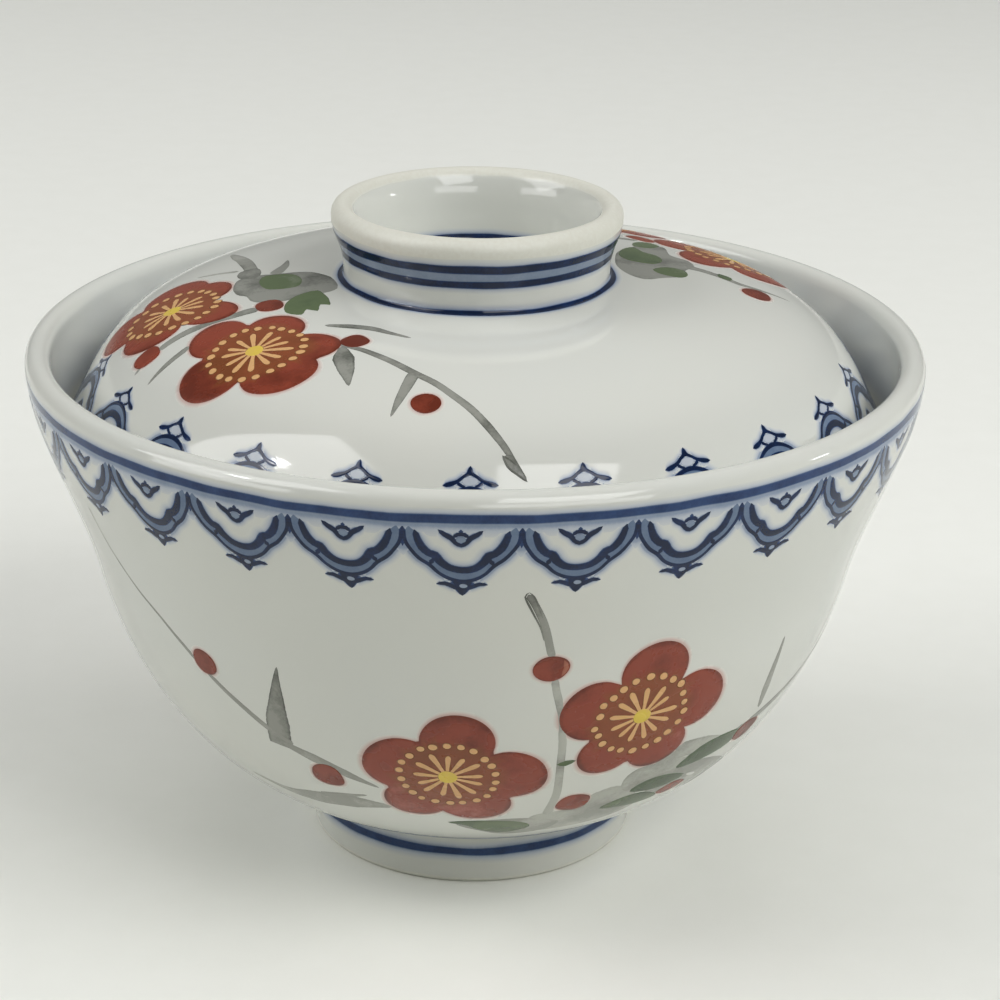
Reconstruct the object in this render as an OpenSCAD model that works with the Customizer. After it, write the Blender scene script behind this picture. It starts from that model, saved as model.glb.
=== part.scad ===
// Lidded donburi bowl: two turned porcelain pieces. The bowl stands on a foot ring and flares
// to a round rim. The lid drops inside the rim, rests on the sloping wall and is lifted by the
// ring turned on its crown. Both are solids of revolution about Z, and the table is at z = 0.

/* [Bowl] */
// Outside diameter of the rim
rim_d = 150; // [146:1:160]
// Height of the bowl, from the table to the top of its rim
bowl_h = 89.2; // [82:0.1:98]
// Thickness of the wall, which is also the thickness of the round rim
wall_t = 4.1; // [3:0.1:5]
// Outside diameter at the waist, where the straight wall begins to flare
waist_d = 129.2; // [122:0.1:134]
// Height of the waist above the table
waist_h = 53; // [46:1:60]
// Lean of the wall at the waist, in degrees from upright
waist_lean = 13.5; // [6:0.5:20]
// Reach of the flare's curve upwards from the waist
waist_reach = 13; // [8:1:18]
// Reach of the flare's curve downwards from the rim
rim_reach = 10; // [6:1:14]
// Reach of the belly's curve downwards from the waist
belly_reach = 26; // [18:1:32]

/* [Foot ring] */
// Outside diameter of the foot ring on the table
foot_d = 55.8; // [48:0.1:64]
// Height of the foot ring, from the table to where the belly springs from it
foot_h = 9.5; // [8:0.1:11]
// How much the foot ring widens from the table to the belly, on each side
foot_flare = 0.5; // [0:0.1:1.5]
// Thickness of the foot ring on the table
foot_t = 3.6; // [2.8:0.1:5]
// Rounding of the foot ring's two lower edges
foot_edge_r = 0.8; // [0.4:0.1:1.2]
// Fillet where the foot ring meets the belly, outside, and the base, inside
foot_root_r = 1.2; // [0.5:0.1:2]
// Slope at which the belly leaves the foot ring, in degrees above level
belly_slope = 18; // [12:1:24]
// Reach of the belly's curve outwards from the foot ring
belly_spring = 16; // [10:1:20]
// Thickness of the base in the middle
base_t = 4.6; // [3.6:0.1:5.8]
// How far the middle of the floor lies below the point where the wall springs
floor_dip = 2.8; // [1.5:0.1:3.8]

/* [Lid] */
// Depth of the middle of the lid's edge below the top of the bowl's rim
seat_depth = 13.6; // [10:0.1:18]
// Clearance between the lid's edge and the bowl's wall
lid_gap = 0.3; // [0.2:0.05:0.6]
// Thickness of the lid, which is also the thickness of its round edge
lid_t = 3.6; // [2.8:0.1:4.6]
// Rise of the dome, from the middle of the lid's edge to the crown
dome_rise = 23.8; // [20:0.1:28]
// Lean of the dome at its edge, in degrees from upright
edge_lean = 26; // [18:1:32]

/* [Grip ring] */
// Outside diameter of the grip ring at its foot
grip_d = 44.4; // [38:0.1:52]
// Outside diameter of the grip ring's round lip
grip_lip_d = 48.4; // [45:0.1:56]
// Height of the grip ring above the crown of the dome
grip_h = 12; // [9:0.1:15]
// Thickness of the grip ring's lip
grip_lip_t = 3.8; // [3:0.1:4.6]
// Thickness of the grip ring's wall at its foot
grip_t = 2.8; // [2.2:0.1:4]
// Fillets where the grip ring meets the dome, outside and inside
grip_root_r = 0.9; // [0.4:0.1:1.6]

/* [Hidden] */
// Reach of the dome's curve from the crown outwards, of the lid's radius
crown_reach_share = 0.84;
// Reach of the dome's curve up from its edge, of the dome's rise
shoulder_reach_share = 0.72;
// Reach of the floor's flat middle, of the radius where the wall springs
floor_flat_share = 0.5;
// Reach of the grip ring's curve at its foot and at its lip, of the height between them
grip_foot_share = 0.6;
grip_lip_share = 0.4;
// Steps along each long curve, and along each small round
steps = 14;
round_steps = 6;
$fn = 96;

// Geometry helpers: a curve from four points, its direction, and a copy of it set to its left
function mix4(p, t) = pow(1 - t, 3) * p[0] + 3 * pow(1 - t, 2) * t * p[1]
    + 3 * (1 - t) * t * t * p[2] + pow(t, 3) * p[3];
function slope4(p, t) = pow(1 - t, 2) * (p[1] - p[0]) + 2 * (1 - t) * t * (p[2] - p[1])
    + t * t * (p[3] - p[2]);
function unit(v) = v / norm(v);
function left_of(v) = [-v[1], v[0]];
function beside(p, t, gap) = mix4(p, t) + gap * left_of(unit(slope4(p, t)));
function curve(p, gap = 0) = [for (i = [0 : steps]) beside(p, i / steps, gap)];
function arc(c, r, from, to) =
    [for (i = [0 : round_steps]) c + r * [cos(from + (to - from) * i / round_steps),
                                          sin(from + (to - from) * i / round_steps)]];
function backwards(pts) = [for (i = [len(pts) - 1 : -1 : 0]) pts[i]];

// A corner between two straight runs, rounded with radius r
function rounded(before, corner, after, r) =
    let (a = unit(before - corner), b = unit(after - corner))
    let (half = acos(a * b) / 2, c = corner + r / sin(half) * unit(a + b))
    let (p = corner + r / tan(half) * a - c, q = corner + r / tan(half) * b - c)
    let (from = atan2(p[1], p[0]), turn = atan2(p[0] * q[1] - p[1] * q[0], p * q))
    arc(c, r, from, from + turn);

// Bowl: radii, and the outside of its wall from the foot ring up to the rim
rim_r = rim_d / 2;
lip_r = wall_t / 2;
lip_z = bowl_h - lip_r;
foot_r = foot_d / 2;
foot_root = [foot_r + foot_flare, foot_h];
waist = [waist_d / 2, waist_h];
waist_way = [sin(waist_lean), cos(waist_lean)];
belly_way = [cos(belly_slope), sin(belly_slope)];
belly = [foot_root, foot_root + belly_spring * belly_way, waist - belly_reach * waist_way, waist];
flare = [waist, waist + waist_reach * waist_way, [rim_r, lip_z - rim_reach], [rim_r, lip_z]];

// Bowl: the floor inside, and the hollow under the base
wall_foot = beside(belly, 0, wall_t);
floor_z = wall_foot[1] - floor_dip;
floor_edge = wall_foot[0] - floor_dip / tan(belly_slope);
floor_run = [[0, floor_z], [floor_flat_share * wall_foot[0], floor_z], [floor_edge, floor_z], wall_foot];
recess_z = floor_z - base_t;
recess_r = foot_r - foot_t;

// Lid: its round edge lies lid_gap off the inside of the flare, seat_depth below the rim
edge_r = lid_t / 2;
seat_table = [for (i = [0 : steps]) [beside(flare, i / steps, wall_t)[1], i / steps]];
seat_t = lookup(bowl_h - seat_depth, seat_table);
edge_c = beside(flare, seat_t, wall_t + lid_gap + edge_r);
crown_z = edge_c[1] + dome_rise;
lid_r = edge_c[0] + edge_r;
dome_end = edge_c + edge_r * [cos(edge_lean), sin(edge_lean)];
dome_way = [-sin(edge_lean), cos(edge_lean)];
dome = [dome_end, dome_end + shoulder_reach_share * dome_rise * dome_way,
        [crown_reach_share * lid_r, crown_z], [0, crown_z]];
dome_out = curve(dome);

// Lid: the grip ring stands where the dome passes its foot
grip_r = grip_d / 2;
grip_in_r = grip_r - grip_t;
grip_bead_r = grip_lip_t / 2;
grip_lip_r = grip_lip_d / 2;
bead_c = [grip_lip_r - grip_bead_r, crown_z + grip_h - grip_bead_r];
dome_heights = backwards(dome_out);
foot_out_z = lookup(grip_r + grip_root_r, dome_heights);
foot_in_z = lookup(grip_in_r - grip_root_r, dome_heights);
grip_run = bead_c[1] - foot_out_z - grip_root_r;
grip_side = [[grip_r, foot_out_z + grip_root_r],
             [grip_r, foot_out_z + grip_root_r + grip_foot_share * grip_run],
             [grip_lip_r, bead_c[1] - grip_lip_share * grip_run],
             [grip_lip_r, bead_c[1]]];

// The bowl: wall, rim, floor and foot ring in one turned outline
module bowl() {
    color("whitesmoke")
        rotate_extrude()
            polygon(concat(
                curve(floor_run),
                [for (i = [1 : steps]) beside(belly, i / steps, wall_t)],
                [for (i = [1 : steps - 1]) beside(flare, i / steps, wall_t)],
                backwards(arc([rim_r - lip_r, lip_z], lip_r, 0, 180)),
                [for (i = [steps - 1 : -1 : 0]) mix4(flare, i / steps)],
                [for (i = [steps - 1 : -1 : 1]) mix4(belly, i / steps)],
                rounded(belly[1], foot_root, [foot_r, 0], foot_root_r),
                rounded(foot_root, [foot_r, 0], [recess_r, 0], foot_edge_r),
                rounded([foot_r, 0], [recess_r, 0], [recess_r, recess_z], foot_edge_r),
                rounded([recess_r, 0], [recess_r, recess_z], [0, recess_z], foot_root_r),
                [[0, recess_z]]));
}

// The lid: dome, round edge and grip ring in one turned outline
module lid() {
    color("ghostwhite")
        rotate_extrude()
            polygon(concat(
                [for (i = [steps : -1 : 1]) beside(dome, i / steps, lid_t)],
                arc(edge_c, edge_r, 180 + edge_lean, 360 + edge_lean),
                [for (i = [1 : steps]) if (dome_out[i][0] > grip_r + grip_root_r) dome_out[i]],
                arc([grip_r + grip_root_r, foot_out_z + grip_root_r], grip_root_r, 270, 180),
                [for (i = [1 : steps - 1]) mix4(grip_side, i / steps)],
                arc(bead_c, grip_bead_r, 0, 180),
                arc([grip_in_r - grip_root_r, foot_in_z + grip_root_r], grip_root_r, 0, -90),
                [for (i = [1 : steps]) if (dome_out[i][0] < grip_in_r - grip_root_r) dome_out[i]]));
}

bowl();
lid();
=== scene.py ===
# A donburi bowl with its lid: two turned porcelain forms, with cobalt borders and lines under the glaze
# and plum sprays in enamel over it. Lengths are metres unless a name says otherwise.
import math
import random

import bpy
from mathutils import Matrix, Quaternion, Vector


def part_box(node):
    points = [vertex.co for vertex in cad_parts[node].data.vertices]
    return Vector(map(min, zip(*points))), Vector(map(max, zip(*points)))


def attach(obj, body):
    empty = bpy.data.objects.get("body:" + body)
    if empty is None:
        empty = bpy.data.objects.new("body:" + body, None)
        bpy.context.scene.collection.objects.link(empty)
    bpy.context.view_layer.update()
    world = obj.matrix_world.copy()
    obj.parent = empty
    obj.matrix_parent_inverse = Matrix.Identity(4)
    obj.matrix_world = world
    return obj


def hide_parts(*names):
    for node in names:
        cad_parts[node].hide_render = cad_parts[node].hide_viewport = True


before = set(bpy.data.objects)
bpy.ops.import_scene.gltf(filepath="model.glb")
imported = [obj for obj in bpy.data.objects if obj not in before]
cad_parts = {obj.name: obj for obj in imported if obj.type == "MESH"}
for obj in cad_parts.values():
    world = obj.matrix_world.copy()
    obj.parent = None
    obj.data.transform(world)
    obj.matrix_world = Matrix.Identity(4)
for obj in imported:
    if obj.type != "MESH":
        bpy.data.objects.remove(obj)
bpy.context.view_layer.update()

MM = 0.001
FULL_TURN = 2 * math.pi

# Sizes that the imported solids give
BOWL_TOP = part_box("bowl")[1]
LID_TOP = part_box("lid")[1]
RIM_R = BOWL_TOP.x
BOWL_H = BOWL_TOP.z

# Sizes of the bowl's turned outline, as in its solid
WALL_T = 4.1 * MM
WAIST = Vector((64.6 * MM, 53 * MM))
WAIST_LEAN = math.radians(13.5)
WAIST_REACH = 13 * MM
RIM_REACH = 10 * MM
BELLY_REACH = 26 * MM
BELLY_SLOPE = math.radians(18)
BELLY_SPRING = 16 * MM
FOOT_R = 27.9 * MM
FOOT_H = 9.5 * MM
FOOT_FLARE = 0.5 * MM
FOOT_T = 3.6 * MM
FOOT_EDGE_R = 0.8 * MM
FOOT_ROOT_R = 1.2 * MM
BASE_T = 4.6 * MM
FLOOR_DIP = 2.8 * MM
FLOOR_FLAT_SHARE = 0.5

# Sizes of the lid's turned outline, as in its solid
SEAT_DEPTH = 13.6 * MM
LID_GAP = 0.3 * MM
LID_T = 3.6 * MM
DOME_RISE = 23.8 * MM
EDGE_LEAN = math.radians(26)
CROWN_REACH_SHARE = 0.84
SHOULDER_REACH_SHARE = 0.72
GRIP_R = 22.2 * MM
GRIP_T = 2.8 * MM
GRIP_LIP_R = 24.2 * MM
GRIP_BEAD_R = 1.9 * MM
GRIP_ROOT_R = 0.9 * MM
GRIP_FOOT_SHARE = 0.6
GRIP_LIP_SHARE = 0.4
GRIP_IN_TOP_DEG = 154
GRIP_IN_BEND = 4.1
GRIP_IN_STEPS = 18

# How finely the forms are turned
TURNS = 288
FEWEST_STEPS = 6
HALVINGS = 40
CURVE_STEP = 1.3 * MM
TRACK_STEP = 0.5 * MM
ROUND_STEPS = 8


# The turned outlines, in radius and height

def unit(v):
    return v / v.length


def along_curve(p, t):
    """A point of the curve that four points steer."""
    s = 1 - t
    return s**3 * p[0] + 3 * s * s * t * p[1] + 3 * s * t * t * p[2] + t**3 * p[3]


def way_of_curve(p, t):
    s = 1 - t
    return 3 * s * s * (p[1] - p[0]) + 6 * s * t * (p[2] - p[1]) + 3 * t * t * (p[3] - p[2])


def beside(p, t, gap):
    """The point a gap to the left of the curve."""
    way = unit(way_of_curve(p, t))
    return along_curve(p, t) + gap * Vector((-way.y, way.x))


def curve(p, gap=0.0, step=CURVE_STEP):
    reach = sum((p[i + 1] - p[i]).length for i in range(3))
    steps = max(FEWEST_STEPS, math.ceil(reach / step))
    return [beside(p, i / steps, gap) for i in range(steps + 1)]


def arc(centre, radius, first_deg, last_deg):
    points = []
    for i in range(ROUND_STEPS + 1):
        a = math.radians(first_deg + (last_deg - first_deg) * i / ROUND_STEPS)
        points.append(centre + radius * Vector((math.cos(a), math.sin(a))))
    return points


def rounded(before, corner, after, radius):
    """A corner between two straight runs, rounded."""
    a = unit(before - corner)
    b = unit(after - corner)
    half = a.angle(b) / 2
    centre = corner + radius / math.sin(half) * unit(a + b)
    start = corner + radius / math.tan(half) * a - centre
    end = corner + radius / math.tan(half) * b - centre
    first = math.degrees(math.atan2(start.y, start.x))
    turn = math.degrees(math.atan2(start.x * end.y - start.y * end.x, start.dot(end)))
    return arc(centre, radius, first, first + turn)


def filled_in(points, step):
    """The same run with no gap longer than a step."""
    run = [points[0]]
    for p, q in zip(points, points[1:]):
        parts = max(1, math.ceil((q - p).length / step))
        run += [p.lerp(q, (i + 1) / parts) for i in range(parts)]
    return run


def solve(f, target, low=0.0, high=1.0):
    """Where a rising function passes a target."""
    for _ in range(HALVINGS):
        mid = (low + high) / 2
        low, high = (mid, high) if f(mid) < target else (low, mid)
    return (low + high) / 2


LIP_R = WALL_T / 2
LIP_Z = BOWL_H - LIP_R
FOOT_ROOT = Vector((FOOT_R + FOOT_FLARE, FOOT_H))
WAIST_WAY = Vector((math.sin(WAIST_LEAN), math.cos(WAIST_LEAN)))
BELLY_WAY = Vector((math.cos(BELLY_SLOPE), math.sin(BELLY_SLOPE)))
BELLY = [FOOT_ROOT, FOOT_ROOT + BELLY_SPRING * BELLY_WAY, WAIST - BELLY_REACH * WAIST_WAY, WAIST]
FLARE = [WAIST, WAIST + WAIST_REACH * WAIST_WAY, Vector((RIM_R, LIP_Z - RIM_REACH)), Vector((RIM_R, LIP_Z))]
WALL_FOOT = beside(BELLY, 0, WALL_T)
FLOOR_Z = WALL_FOOT.y - FLOOR_DIP
RECESS_Z = FLOOR_Z - BASE_T
RECESS_R = FOOT_R - FOOT_T

EDGE_R = LID_T / 2
SEAT_T = solve(lambda t: beside(FLARE, t, WALL_T).y, BOWL_H - SEAT_DEPTH)
EDGE_C = beside(FLARE, SEAT_T, WALL_T + LID_GAP + EDGE_R)
CROWN_Z = EDGE_C.y + DOME_RISE
LID_R = EDGE_C.x + EDGE_R
DOME_END = EDGE_C + EDGE_R * Vector((math.cos(EDGE_LEAN), math.sin(EDGE_LEAN)))
DOME_WAY = Vector((-math.sin(EDGE_LEAN), math.cos(EDGE_LEAN)))
DOME = [DOME_END, DOME_END + SHOULDER_REACH_SHARE * DOME_RISE * DOME_WAY,
        Vector((CROWN_REACH_SHARE * LID_R, CROWN_Z)), Vector((0, CROWN_Z))]
GRIP_IN_R = GRIP_R - GRIP_T
GRIP_TOP = LID_TOP.z
BEAD_C = Vector((GRIP_LIP_R - GRIP_BEAD_R, GRIP_TOP - GRIP_BEAD_R))
ROOT_OUT_T = solve(lambda t: -along_curve(DOME, t).x, -(GRIP_R + GRIP_ROOT_R))
ROOT_IN_T = solve(lambda t: -along_curve(DOME, t).x, -(GRIP_IN_R - GRIP_ROOT_R))
ROOT_OUT_Z = along_curve(DOME, ROOT_OUT_T).y
ROOT_IN_Z = along_curve(DOME, ROOT_IN_T).y
GRIP_RUN = BEAD_C.y - ROOT_OUT_Z - GRIP_ROOT_R
GRIP_SIDE = [Vector((GRIP_R, ROOT_OUT_Z + GRIP_ROOT_R)),
             Vector((GRIP_R, ROOT_OUT_Z + GRIP_ROOT_R + GRIP_FOOT_SHARE * GRIP_RUN)),
             Vector((GRIP_LIP_R, BEAD_C.y - GRIP_LIP_SHARE * GRIP_RUN)),
             Vector((GRIP_LIP_R, BEAD_C.y))]


def wall_outside(step=CURVE_STEP):
    return curve(BELLY, 0, step) + curve(FLARE, 0, step)[1:]


def foot_outside():
    foot_bottom = Vector((FOOT_R, 0))
    foot_inside = Vector((RECESS_R, 0))
    edge = rounded(FOOT_ROOT, foot_bottom, foot_inside, FOOT_EDGE_R)
    root = rounded(foot_bottom, FOOT_ROOT, BELLY[1], FOOT_ROOT_R)
    return edge[::-1] + root


def bowl_outline():
    """From the middle of the hollow under the base, round the foot, up the outside and down to the
    floor."""
    foot_bottom = Vector((FOOT_R, 0))
    inner_bottom = Vector((RECESS_R, 0))
    inner_top = Vector((RECESS_R, RECESS_Z))
    axis_low = Vector((0, RECESS_Z))
    floor_edge = WALL_FOOT.x - FLOOR_DIP / math.tan(BELLY_SLOPE)
    floor_run = [Vector((0, FLOOR_Z)), Vector((FLOOR_FLAT_SHARE * WALL_FOOT.x, FLOOR_Z)),
                 Vector((floor_edge, FLOOR_Z)), WALL_FOOT]
    under = [axis_low] + rounded(axis_low, inner_top, inner_bottom, FOOT_ROOT_R)
    under += rounded(inner_top, inner_bottom, foot_bottom, FOOT_EDGE_R)
    outside = foot_outside() + [p for p in wall_outside() if p.x > FOOT_ROOT.x + FOOT_ROOT_R]
    lip = arc(Vector((RIM_R - LIP_R, LIP_Z)), LIP_R, 0, 180)
    inside = curve(FLARE, WALL_T)[::-1][1:] + curve(BELLY, WALL_T)[::-1][1:] + curve(floor_run)[::-1][1:]
    return filled_in(under + outside + lip[1:] + inside, 2 * CURVE_STEP)


def dome_outside(step=CURVE_STEP):
    return [p for p in curve(DOME, 0, step) if p.x > GRIP_R + GRIP_ROOT_R]


def grip_outside():
    root = arc(Vector((GRIP_R + GRIP_ROOT_R, ROOT_OUT_Z + GRIP_ROOT_R)), GRIP_ROOT_R, 270, 180)
    return root + curve(GRIP_SIDE)[1:]


def grip_inside():
    """Down the inside of the grip ring, which opens a little at its top, and in along the crown."""
    bend = math.radians(GRIP_IN_TOP_DEG)
    top = BEAD_C + GRIP_BEAD_R * Vector((math.cos(bend), math.sin(bend)))
    low = ROOT_IN_Z + GRIP_ROOT_R
    wall = []
    for i in range(GRIP_IN_STEPS):
        up = 1 - i / GRIP_IN_STEPS
        wall.append(Vector((GRIP_IN_R + (top.x - GRIP_IN_R) * up**GRIP_IN_BEND, low + (top.y - low) * up)))
    root = arc(Vector((GRIP_IN_R - GRIP_ROOT_R, low)), GRIP_ROOT_R, 0, -90)
    crown = [p for p in curve(DOME) if p.x < GRIP_IN_R - GRIP_ROOT_R]
    return wall + root + crown


def lid_outline():
    """From the middle of the hollow, out under the dome, round the edge and up over the grip ring."""
    hollow = curve(DOME, LID_T)[::-1]
    edge = arc(EDGE_C, EDGE_R, 180 + math.degrees(EDGE_LEAN), 360 + math.degrees(EDGE_LEAN))
    top = dome_outside() + grip_outside() + arc(BEAD_C, GRIP_BEAD_R, 0, GRIP_IN_TOP_DEG)[1:]
    top += grip_inside()[1:]
    return filled_in(hollow[:-1] + edge + top[1:], 2 * CURVE_STEP)


class Track:
    """A run of an outline that paint follows, with places along it given by arc length."""

    def __init__(self, name, points):
        self.points = filled_in(points, TRACK_STEP)
        self.lengths = [0.0]
        for p, q in zip(self.points, self.points[1:]):
            self.lengths.append(self.lengths[-1] + (q - p).length)
        data = bpy.data.curves.new(name, "CURVE")
        data.dimensions = "3D"
        spline = data.splines.new("POLY")
        spline.points.add(len(self.points) - 1)
        for point, p in zip(spline.points, self.points):
            point.co = (p.x, 0, p.y, 1)
        self.object = new_object(name, data)

    def place(self, length):
        """The point of the outline at a length along it."""
        length = min(max(length, 0.0), self.lengths[-1])
        low = 0
        high = len(self.lengths) - 1
        while high - low > 1:
            mid = (low + high) // 2
            low, high = (mid, high) if self.lengths[mid] <= length else (low, mid)
        share = (length - self.lengths[low]) / (self.lengths[high] - self.lengths[low])
        return self.points[low].lerp(self.points[high], share)

    def radius(self, length):
        return self.place(length).x

    def length_at_height(self, height):
        """The length at which a run that goes up, or down, passes a height."""
        way = 1 if self.points[-1].y > self.points[0].y else -1
        return solve(lambda s: way * self.place(s).y, way * height, 0.0, self.lengths[-1])


# Node trees: one builder for geometry, shader groups and materials

class Value:
    """What a socket gives, to reckon with as with a number."""

    def __init__(self, nodes, socket):
        self.nodes = nodes
        self.socket = socket

    def __add__(self, other):
        return self.nodes.math("ADD", self, other)

    def __sub__(self, other):
        return self.nodes.math("SUBTRACT", self, other)

    def __mul__(self, other):
        return self.nodes.math("MULTIPLY", self, other)

    def __truediv__(self, other):
        return self.nodes.math("DIVIDE", self, other)


class Nodes:
    """A node tree, with short ways to add and join nodes."""

    def __init__(self, tree):
        self.tree = tree

    def join(self, value, socket):
        """Joins a socket to a value, or sets it to a plain number, colour or name."""
        if isinstance(value, Value):
            self.tree.links.new(value.socket, socket)
        else:
            socket.default_value = value

    def node(self, kind, values=(), **settings):
        """A new node with its settings, and its inputs joined or set."""
        node = self.tree.nodes.new(kind)
        for name, value in settings.items():
            setattr(node, name, value)
        pairs = values.items() if isinstance(values, dict) else enumerate(values)
        for key, value in pairs:
            self.join(value, node.inputs[key])
        return node

    def all_of(self, kind, values=(), **settings):
        """Every output of a new node."""
        return [Value(self, output) for output in self.node(kind, values, **settings).outputs]

    def one(self, kind, values=(), output=0, **settings):
        """One output of a new node, by its number or its name."""
        return Value(self, self.node(kind, values, **settings).outputs[output])

    def math(self, operation, *values, **settings):
        return self.one("ShaderNodeMath", values, operation=operation, **settings)

    def parts(self, vector):
        """A vector's x, y and z."""
        return self.all_of("ShaderNodeSeparateXYZ", [vector])

    def vector(self, x, y, z):
        return self.one("ShaderNodeCombineXYZ", [x, y, z])

    def place(self):
        """Where a shaded point lies in its piece's own frame."""
        return self.one("ShaderNodeTexCoord", output="Object")

    def mapped(self, value, low, high, to_low=0.0, to_high=1.0):
        return self.one("ShaderNodeMapRange", {"Value": value, "From Min": low, "From Max": high,
                                               "To Min": to_low, "To Max": to_high})

    def mixed(self, factor, first, second, kind="RGBA"):
        """A mix of two colours, or of two numbers if the kind is FLOAT."""
        return self.one("ShaderNodeMix", {"Factor": factor, "A": first, "B": second}, "Result",
                        data_type=kind)

    def bump(self, height, strength, depth):
        return self.one("ShaderNodeBump", {"Strength": strength, "Distance": depth, "Height": height})


class Group(Nodes):
    """A node group with named inputs and outputs, each given as a name, a kind and perhaps a default."""

    def __init__(self, name, kind, inputs, outputs):
        super().__init__(bpy.data.node_groups.new(name, kind))
        self.sockets = {}
        for way, wanted in (("INPUT", inputs), ("OUTPUT", outputs)):
            for word, holds, *default in wanted:
                made = self.tree.interface.new_socket(word, in_out=way, socket_type="NodeSocket" + holds)
                self.sockets[word] = made.identifier
                if default:
                    made.default_value = default[0]
        self.given = self.node("NodeGroupInput").outputs
        self.result = self.node("NodeGroupOutput").inputs

    def __getitem__(self, word):
        """What the group is given for a named input."""
        return Value(self, self.given[word])

    def attribute(self, word):
        return self.one("GeometryNodeInputNamedAttribute", [word], "Attribute", data_type="FLOAT")

    def shape_of(self, thing):
        return self.one("GeometryNodeObjectInfo", {"Object": thing}, "Geometry")

    def copies(self, geometry, amount, domain):
        """Copies of a geometry's parts, and the number of each."""
        return self.all_of("GeometryNodeDuplicateElements", {"Geometry": geometry, "Amount": amount},
                           domain=domain)

    def finish(self, geometry, material):
        """Ends the tree: real geometry, in its material."""
        whole = self.one("GeometryNodeRealizeInstances", [geometry])
        coated = self.one("GeometryNodeSetMaterial", {"Geometry": whole, "Material": material})
        self.join(coated, self.result["Geometry"])
        return self


MERGE_WITHIN = 0.001 * MM
WAVER = 0.2 * MM
WAVER_REACH = 7 * MM

# The marks round each flower's middle
RAYS = 13
DOTS = 22
DOT_RING = 7.7 * MM
DOT_RING_UNEVEN_SHARE = 0.35
STAMENS_UNEVEN = 0.1
STAMENS_SEED = 5


def turned_form_tree():
    """Turns an outline, given as a mesh of points in order, into a closed form with its own map."""
    t = Group("turned_form", "GeometryNodeTree",
              [("Outline", "Object"), ("Turns", "Int", TURNS), ("Glaze", "Material")],
              [("Geometry", "Geometry")])
    outline = t.shape_of(t["Outline"])
    size = t.one("GeometryNodeAttributeDomainSize", [outline], "Point Count", component="MESH")
    columns = t["Turns"] + 1
    grid = t.one("GeometryNodeMeshGrid", {"Vertices X": size, "Vertices Y": columns})
    number = t.one("GeometryNodeInputIndex")
    row = t.math("FLOOR", (number + 0.5) / columns)
    column = t.math("ROUND", number - row * columns)
    found = t.one("GeometryNodeSampleIndex",
                  {"Geometry": outline, "Value": t.one("GeometryNodeInputPosition"), "Index": row},
                  "Value", data_type="FLOAT_VECTOR")
    radius, _, height = t.parts(found)
    around = column / t["Turns"]
    turn = around * FULL_TURN
    x = radius * t.math("SINE", turn)
    y = radius * (t.math("COSINE", turn) * -1)
    mapped = t.one("GeometryNodeStoreNamedAttribute",
                   {"Geometry": grid, "Name": "OFBake", "Value": t.vector(around, row / size, 0.0)},
                   data_type="FLOAT2", domain="CORNER")
    turned = t.one("GeometryNodeSetPosition", {"Geometry": mapped, "Position": t.vector(x, y, height)})
    closed = t.one("GeometryNodeMergeByDistance", {"Geometry": turned, "Distance": MERGE_WITHIN})
    return t.finish(closed, t["Glaze"])


def painted_round_tree():
    """Lays a flat drawing on a turned form, in copies spread evenly round it, with the hand's slight
    waver. In the drawing x runs across from each point's own turn, y along the track and z off the glaze.
    Lean puts it off centre: so much back along the track at the front, and as much on at the back."""
    t = Group("painted_round", "GeometryNodeTree",
              [("Drawing", "Geometry"), ("Track", "Object"), ("Copies", "Int", 1),
               ("Waver", "Float", WAVER), ("Waver Reach", "Float", WAVER_REACH), ("Lean", "Float", 0.0),
               ("Paint", "Material")],
              [("Geometry", "Geometry")])
    whole = t.one("GeometryNodeGeometryToInstance", [t["Drawing"]])
    many, number = t.copies(whole, t["Copies"], "INSTANCE")
    counted = t.one("GeometryNodeStoreNamedAttribute", {"Geometry": many, "Name": "copy", "Value": number},
                    data_type="FLOAT", domain="INSTANCE")
    flat = t.one("GeometryNodeRealizeInstances", [counted])
    drawn_x, drawn_y, off = t.parts(t.one("GeometryNodeInputPosition"))
    track = t.shape_of(t["Track"])

    def on_track(length):
        """The track's point and its way at a length along it."""
        sample = t.node("GeometryNodeSampleCurve", {"Curves": track, "Length": length}, mode="LENGTH")
        return [t.parts(Value(t, sample.outputs[word])) for word in ("Position", "Tangent")]

    base_turn = t.attribute("turn") + t.attribute("copy") / t["Copies"] * FULL_TURN
    (radius, _, height), _ = on_track(drawn_y)
    turn = base_turn + drawn_x / radius
    wave_at = t.vector(radius * t.math("SINE", turn), radius * t.math("COSINE", turn), height)
    wave_scale = t.math("DIVIDE", 1.0, t["Waver Reach"])
    waves = t.one("ShaderNodeTexNoise", {"Vector": wave_at, "Detail": 0.0, "Scale": wave_scale}, "Color")
    sway_x, sway_y, _ = t.parts(waves)
    most = t["Waver"] * 2.0
    across = t.math("MULTIPLY_ADD", sway_x - 0.5, most, drawn_x)
    along = t.math("MULTIPLY_ADD", sway_y - 0.5, most, drawn_y)
    along = along - t.math("COSINE", turn) * t["Lean"]
    (radius, _, height), (way_out, _, way_up) = on_track(along)
    turn = base_turn + across / radius
    off_radius = t.math("MULTIPLY_ADD", off, way_up, radius)
    x = off_radius * t.math("SINE", turn)
    y = off_radius * (t.math("COSINE", turn) * -1)
    laid = t.one("GeometryNodeSetPosition",
                 {"Geometry": flat, "Position": t.vector(x, y, height - off * way_out)})
    return t.finish(laid, t["Paint"])


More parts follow.
